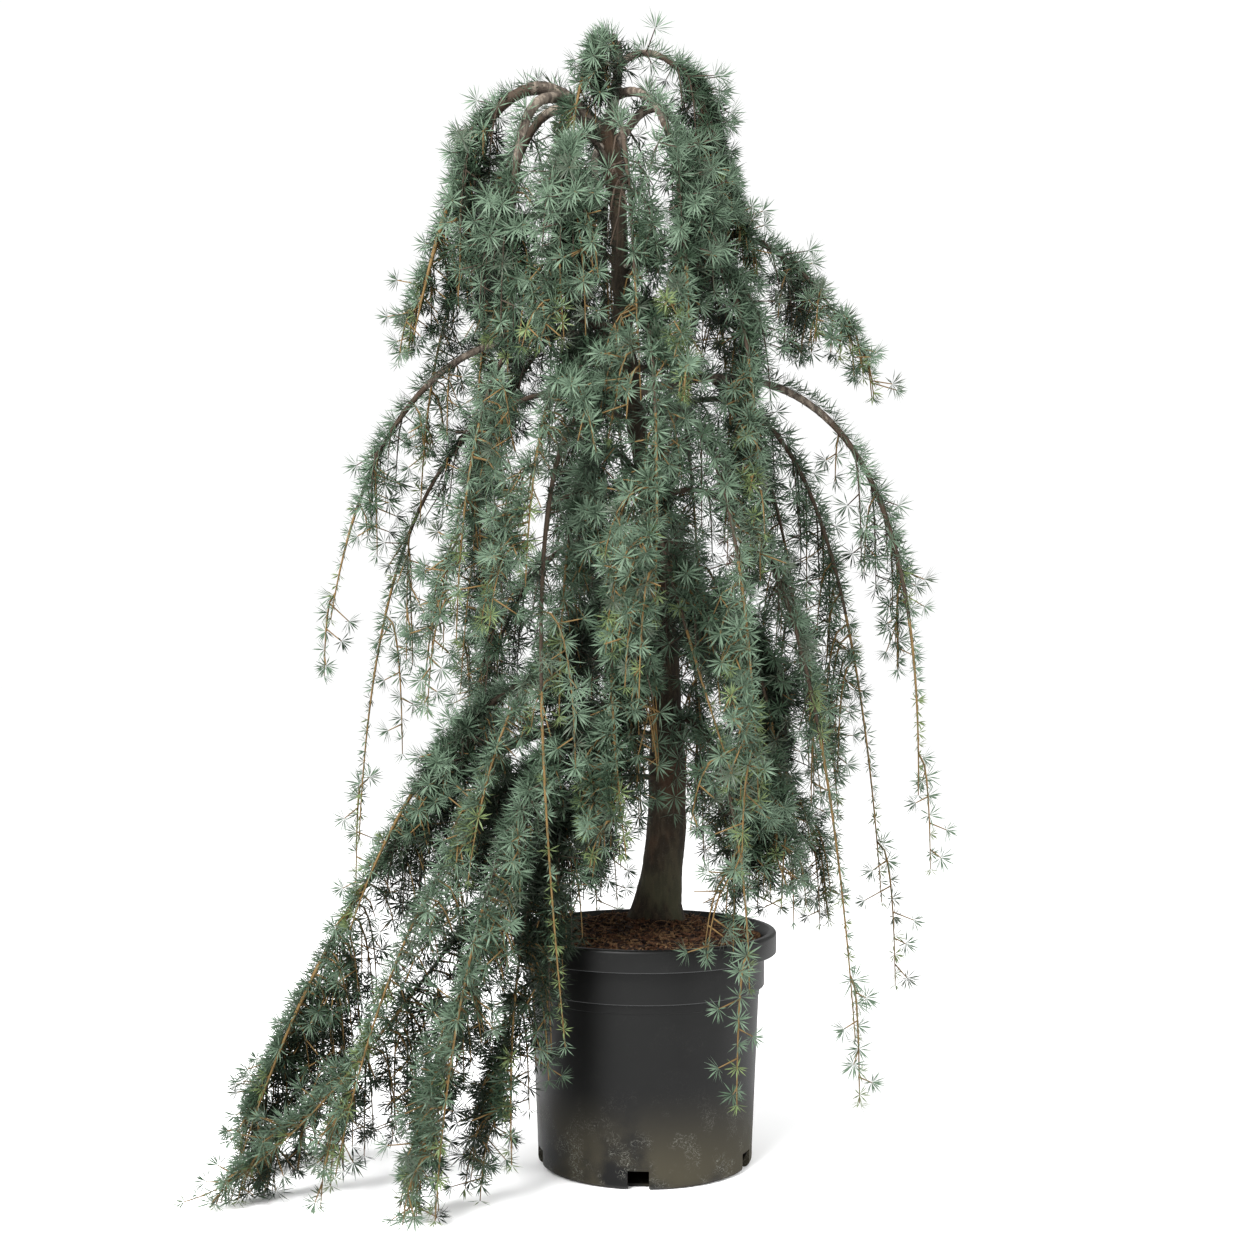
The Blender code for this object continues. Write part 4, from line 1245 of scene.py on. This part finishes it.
def spin_form(form, profile):
    """Turns a closed section about the Z axis."""
    verts = [form.verts.new((x, 0.0, z)) for x, z in profile]
    for low, high in zip(verts, verts[1:] + verts[:1]):
        form.edges.new((low, high))
    bmesh.ops.spin(form, geom=form.verts[:] + form.edges[:], cent=(0, 0, 0), axis=(0, 0, 1),
                   dvec=(0, 0, 0), angle=math.tau, steps=POT_SIDES, use_merge=True, use_duplicate=False)
    bmesh.ops.remove_doubles(form, verts=form.verts, dist=1e-6)
    bmesh.ops.recalc_face_normals(form, faces=form.faces)


def notch_cutter():
    form = bmesh.new()
    for number in range(NOTCHES):
        angle = FIRST_NOTCH + number * math.tau / NOTCHES
        turn = Matrix.Rotation(angle, 4, "Z") @ Matrix.Translation((BODY_FOOT_RADIUS, 0, 0))
        bmesh.ops.create_cube(form, size=1.0, matrix=turn @ Matrix.Diagonal((*NOTCH_SIZE, 1.0)))
    mesh = bpy.data.meshes.new("notches")
    form.to_mesh(mesh)
    form.free()
    return show("notches", mesh)


def make_pot(material):
    form = bmesh.new()
    spin_form(form, pot_profile())
    pot = finish_form(form, "pot_moulding", material)
    cutter = notch_cutter()
    cut = pot.modifiers.new("notches", "BOOLEAN")
    cut.object = cutter
    cut.operation = "DIFFERENCE"
    graph = bpy.context.evaluated_depsgraph_get()
    mesh = bpy.data.meshes.new_from_object(pot.evaluated_get(graph))
    pot.modifiers.clear()
    pot.data = mesh
    bpy.data.objects.remove(cutter)
    mesh.shade_smooth()
    mesh.set_sharp_from_angle(angle=SHARP_ANGLE)
    join_frame(pot, "pot_plastic", "pot")


# Soil


def soil_height(reach):
    """Height of the heap at a distance from the axis."""
    share = min(1.0, reach / SOIL_RIM_RADIUS)
    return SOIL_RIM_HEIGHT + (SOIL_TOP - SOIL_RIM_HEIGHT) * (1 - share**SOIL_CURVE)


def make_heap(material):
    form = bmesh.new()
    low = SOIL_RIM_HEIGHT - SOIL_DEPTH
    profile = [(reach, soil_height(reach)) for reach in np.linspace(0.0, SOIL_RIM_RADIUS, SOIL_RINGS)]
    profile += [(SOIL_RIM_RADIUS - SOIL_TAPER, low), (0.0, low)]
    spin_form(form, profile)
    for vert in form.verts:
        on_top = vert.co.z > SOIL_RIM_HEIGHT - 0.5 * SOIL_DEPTH
        if on_top and vert.co.xy.length < SOIL_RIM_RADIUS - SMOOTH_RIM:
            vert.co.z += sum(noise.noise(vert.co * waves) * height for waves, height in SOIL_LUMPS)
    join_frame(finish_form(form, "soil_heap", material), "soil", "soil")


def box_form():
    """Corners and triangles of a unit box, as arrays."""
    form = bmesh.new()
    bmesh.ops.create_cube(form, size=1.0)
    bmesh.ops.triangulate(form, faces=form.faces)
    form.verts.index_update()
    corners = np.array([vert.co for vert in form.verts])
    triangles = np.array([[vert.index for vert in face.verts] for face in form.faces])
    form.free()
    return corners, triangles


def litter_places(draw, count):
    reach = (SOIL_RIM_RADIUS - LITTER_MARGIN) * np.sqrt(draw.random(count))
    turn = draw.uniform(0, math.tau, count)
    heights = np.array([soil_height(each) for each in reach])
    return np.stack([reach * np.cos(turn), reach * np.sin(turn), heights], axis=1)


def make_chips(materials):
    """Loose chips of bark on the soil."""
    draw = np.random.default_rng(CHIP_SEED)
    corners, triangles = box_form()
    places = litter_places(draw, CHIPS) + draw.uniform(*CHIP_HEIGHTS, (CHIPS, 1)) * UP
    long = unit(draw.normal(size=(CHIPS, 3)) * (1, 1, 0.25))
    side = unit(np.cross(long, unit(draw.normal(size=(CHIPS, 3)) * (0.3, 0.3, 1))))
    sizes = draw.uniform(*CHIP_SIZES, (CHIPS, 3))
    frames = np.stack([long, side, np.cross(long, side)], axis=2)
    skew = 1 + draw.uniform(-CHIP_SKEW, CHIP_SKEW, (CHIPS, len(corners), 3))
    forms = corners[None] * sizes[:, None] * skew
    gathering = Gathering()
    gathering.add(np.einsum("mij,mkj->mki", frames, forms) + places[:, None], triangles,
                  draw.integers(0, len(materials), CHIPS))
    join_frame(gathering.piece("soil_chips", materials), "soil", "soil")


def make_fibres(materials):
    """Loose curved fibres of coir on the soil."""
    draw = np.random.default_rng(FIBRE_SEED)
    gathering = Gathering()
    for place in litter_places(draw, FIBRES):
        along = unit(draw.normal(size=3) * (1, 1, 0.2))
        bend = unit(draw.normal(size=3) * (1, 1, 0.5))
        length = draw.uniform(*FIBRE_LENGTH)
        lift = UP * draw.uniform(*FIBRE_LIFT)
        half = along * length / 2
        points = [place - half, place + bend * (FIBRE_BEND * length) + lift, place + half]
        reach = max(math.hypot(*point[:2]) for point in points)
        if reach > SOIL_RIM_RADIUS:
            continue
        course = Course(bezier(points))
        radius = draw.uniform(*FIBRE_RADIUS)
        finish = int(draw.integers(0, len(materials)))
        tube(gathering, course, 0.0, course.length, radius, 0.5 * radius, 3, finish, step=FIBRE_STEP)
    join_frame(gathering.piece("soil_fibres", materials), "soil", "soil")


# Operators


class CEDAR_OT_foliage(bpy.types.Operator):
    """Grow the twigs and needles of every mass"""

    bl_idname = "cedar.foliage"
    bl_label = "Grow foliage"

    def execute(self, context):
        tones = context.scene.cedar_bark
        needle_materials = [Finish(name, tone, 0.55).material for name, tone in NEEDLE_FINISHES]
        wood_materials = [Finish("twig_bark", TWIG_TONE, 0.85).material,
                          Finish("whip_bark", tones.young, 0.7).material]
        make_foliage(needle_materials, wood_materials)
        return {"FINISHED"}


class CEDAR_OT_wood(bpy.types.Operator):
    """Shape the bark of the stem, the boughs and the stubs"""

    bl_idname = "cedar.wood"
    bl_label = "Shape bark"

    def execute(self, context):
        tones = context.scene.cedar_bark
        make_stem(bark_finish("bark", tones.old, tones.weathered, 0.5))
        make_boughs(plant_courses(), bark_finish("limb_bark", tones.limb, tones.pale_limb, 0.15))
        make_stubs(pale_wood_finish())
        return {"FINISHED"}


class CEDAR_OT_pot(bpy.types.Operator):
    """Mould the pot"""

    bl_idname = "cedar.pot"
    bl_label = "Mould pot"

    def execute(self, context):
        make_pot(plastic_finish())
        return {"FINISHED"}


class CEDAR_OT_soil(bpy.types.Operator):
    """Heap up the soil with its chips and fibres"""

    bl_idname = "cedar.soil"
    bl_label = "Lay soil"

    def execute(self, context):
        make_heap(soil_finish("soil", context.scene.cedar_pot.soil, SOIL_CRUMBS))
        make_chips([soil_finish(*tones) for tones in CHIP_TONES])
        make_fibres([Finish(name, tone, 0.9).material for name, tone in FIBRE_TONES])
        return {"FINISHED"}


class CEDAR_OT_stage(bpy.types.Operator):
    """Set up the floor, the soft light and the camera"""

    bl_idname = "cedar.stage"
    bl_label = "Set stage"

    def execute(self, context):
        stage = context.scene.cedar_stage
        for thing in [each for each in bpy.data.objects if each.type in {"CAMERA", "LIGHT"}]:
            bpy.data.objects.remove(thing)
        make_floor(stage)
        make_surround(stage)
        for name, place, aim, size, share in LIGHTS:
            make_light(name, place, aim, size, stage.light * share)
        make_camera()
        context.scene.view_settings.view_transform = "Standard"
        return {"FINISHED"}


def plant_courses():
    courses = {}
    for arm in ARMS:
        courses[arm.name] = arm_course(arm, courses)
    return courses


def make_floor(stage):
    form = bmesh.new()
    bmesh.ops.create_grid(form, x_segments=1, y_segments=1, size=FLOOR_SIZE)
    bmesh.ops.translate(form, verts=form.verts, vec=FLOOR_PLACE)
    floor = finish_form(form, "floor", Finish("floor", stage.floor, 0.9).material, smooth=False)


def make_surround(stage):
    world = bpy.context.scene.world or bpy.data.worlds.new("surround")
    bpy.context.scene.world = world
    world.use_nodes = True
    background = world.node_tree.nodes["Background"]
    background.inputs[0].default_value = (1.0, 1.0, 1.0, 1.0)
    background.inputs[1].default_value = stage.surround


def make_light(name, place, target, size, power):
    data = bpy.data.lights.new(name, "AREA")
    data.energy = power
    data.shape = "DISK"
    data.size = size
    light = bpy.data.objects.new(name, data)
    bpy.context.scene.collection.objects.link(light)
    light.location = place
    light.rotation_euler = (Vector(target) - Vector(place)).to_track_quat("-Z", "Y").to_euler()


def make_camera():
    data = bpy.data.cameras.new("camera")
    half_width = PHOTO_PIXELS / 2 * METRES_PER_PIXEL
    data.sensor_width = SENSOR_WIDTH
    data.lens = SENSOR_WIDTH / 2 * -CAMERA_PLACE[1] / half_width
    camera = bpy.data.objects.new("camera", data)
    bpy.context.scene.collection.objects.link(camera)
    camera.location = CAMERA_PLACE
    camera.rotation_euler = (math.pi / 2, 0.0, 0.0)
    bpy.context.scene.camera = camera


class CEDAR_PT_tools(bpy.types.Panel):
    """Lists the sizes, the colours and the steps"""

    bl_idname = "CEDAR_PT_tools"
    bl_label = "Weeping cedar"
    bl_space_type = "VIEW_3D"
    bl_region_type = "UI"
    bl_category = "Cedar"

    def draw(self, context):
        for group in GROUPS:
            settings = getattr(context.scene, group)
            box = self.layout.box()
            for name in settings.bl_rna.properties.keys():
                if name not in {"rna_type", "name"}:
                    box.prop(settings, name)
        for operator in OPERATORS:
            self.layout.operator(operator.bl_idname)


GROUPS = {
    "cedar_needles": CedarNeedles,
    "cedar_bark": CedarBark,
    "cedar_pot": CedarPot,
    "cedar_stage": CedarStage,
}
OPERATORS = (CEDAR_OT_foliage, CEDAR_OT_wood, CEDAR_OT_pot, CEDAR_OT_soil, CEDAR_OT_stage)


def register():
    for cls in (*GROUPS.values(), *OPERATORS, CEDAR_PT_tools):
        bpy.utils.register_class(cls)
    for name, group in GROUPS.items():
        setattr(bpy.types.Scene, name, bpy.props.PointerProperty(type=group))


def unregister():
    for name in GROUPS:
        delattr(bpy.types.Scene, name)
    for cls in (CEDAR_PT_tools, *OPERATORS, *GROUPS.values()):
        bpy.utils.unregister_class(cls)


def main():
    register()
    bpy.ops.cedar.foliage()
    bpy.ops.cedar.wood()
    bpy.ops.cedar.pot()
    bpy.ops.cedar.soil()
    bpy.ops.cedar.stage()


if __name__ == "__main__":
    main()
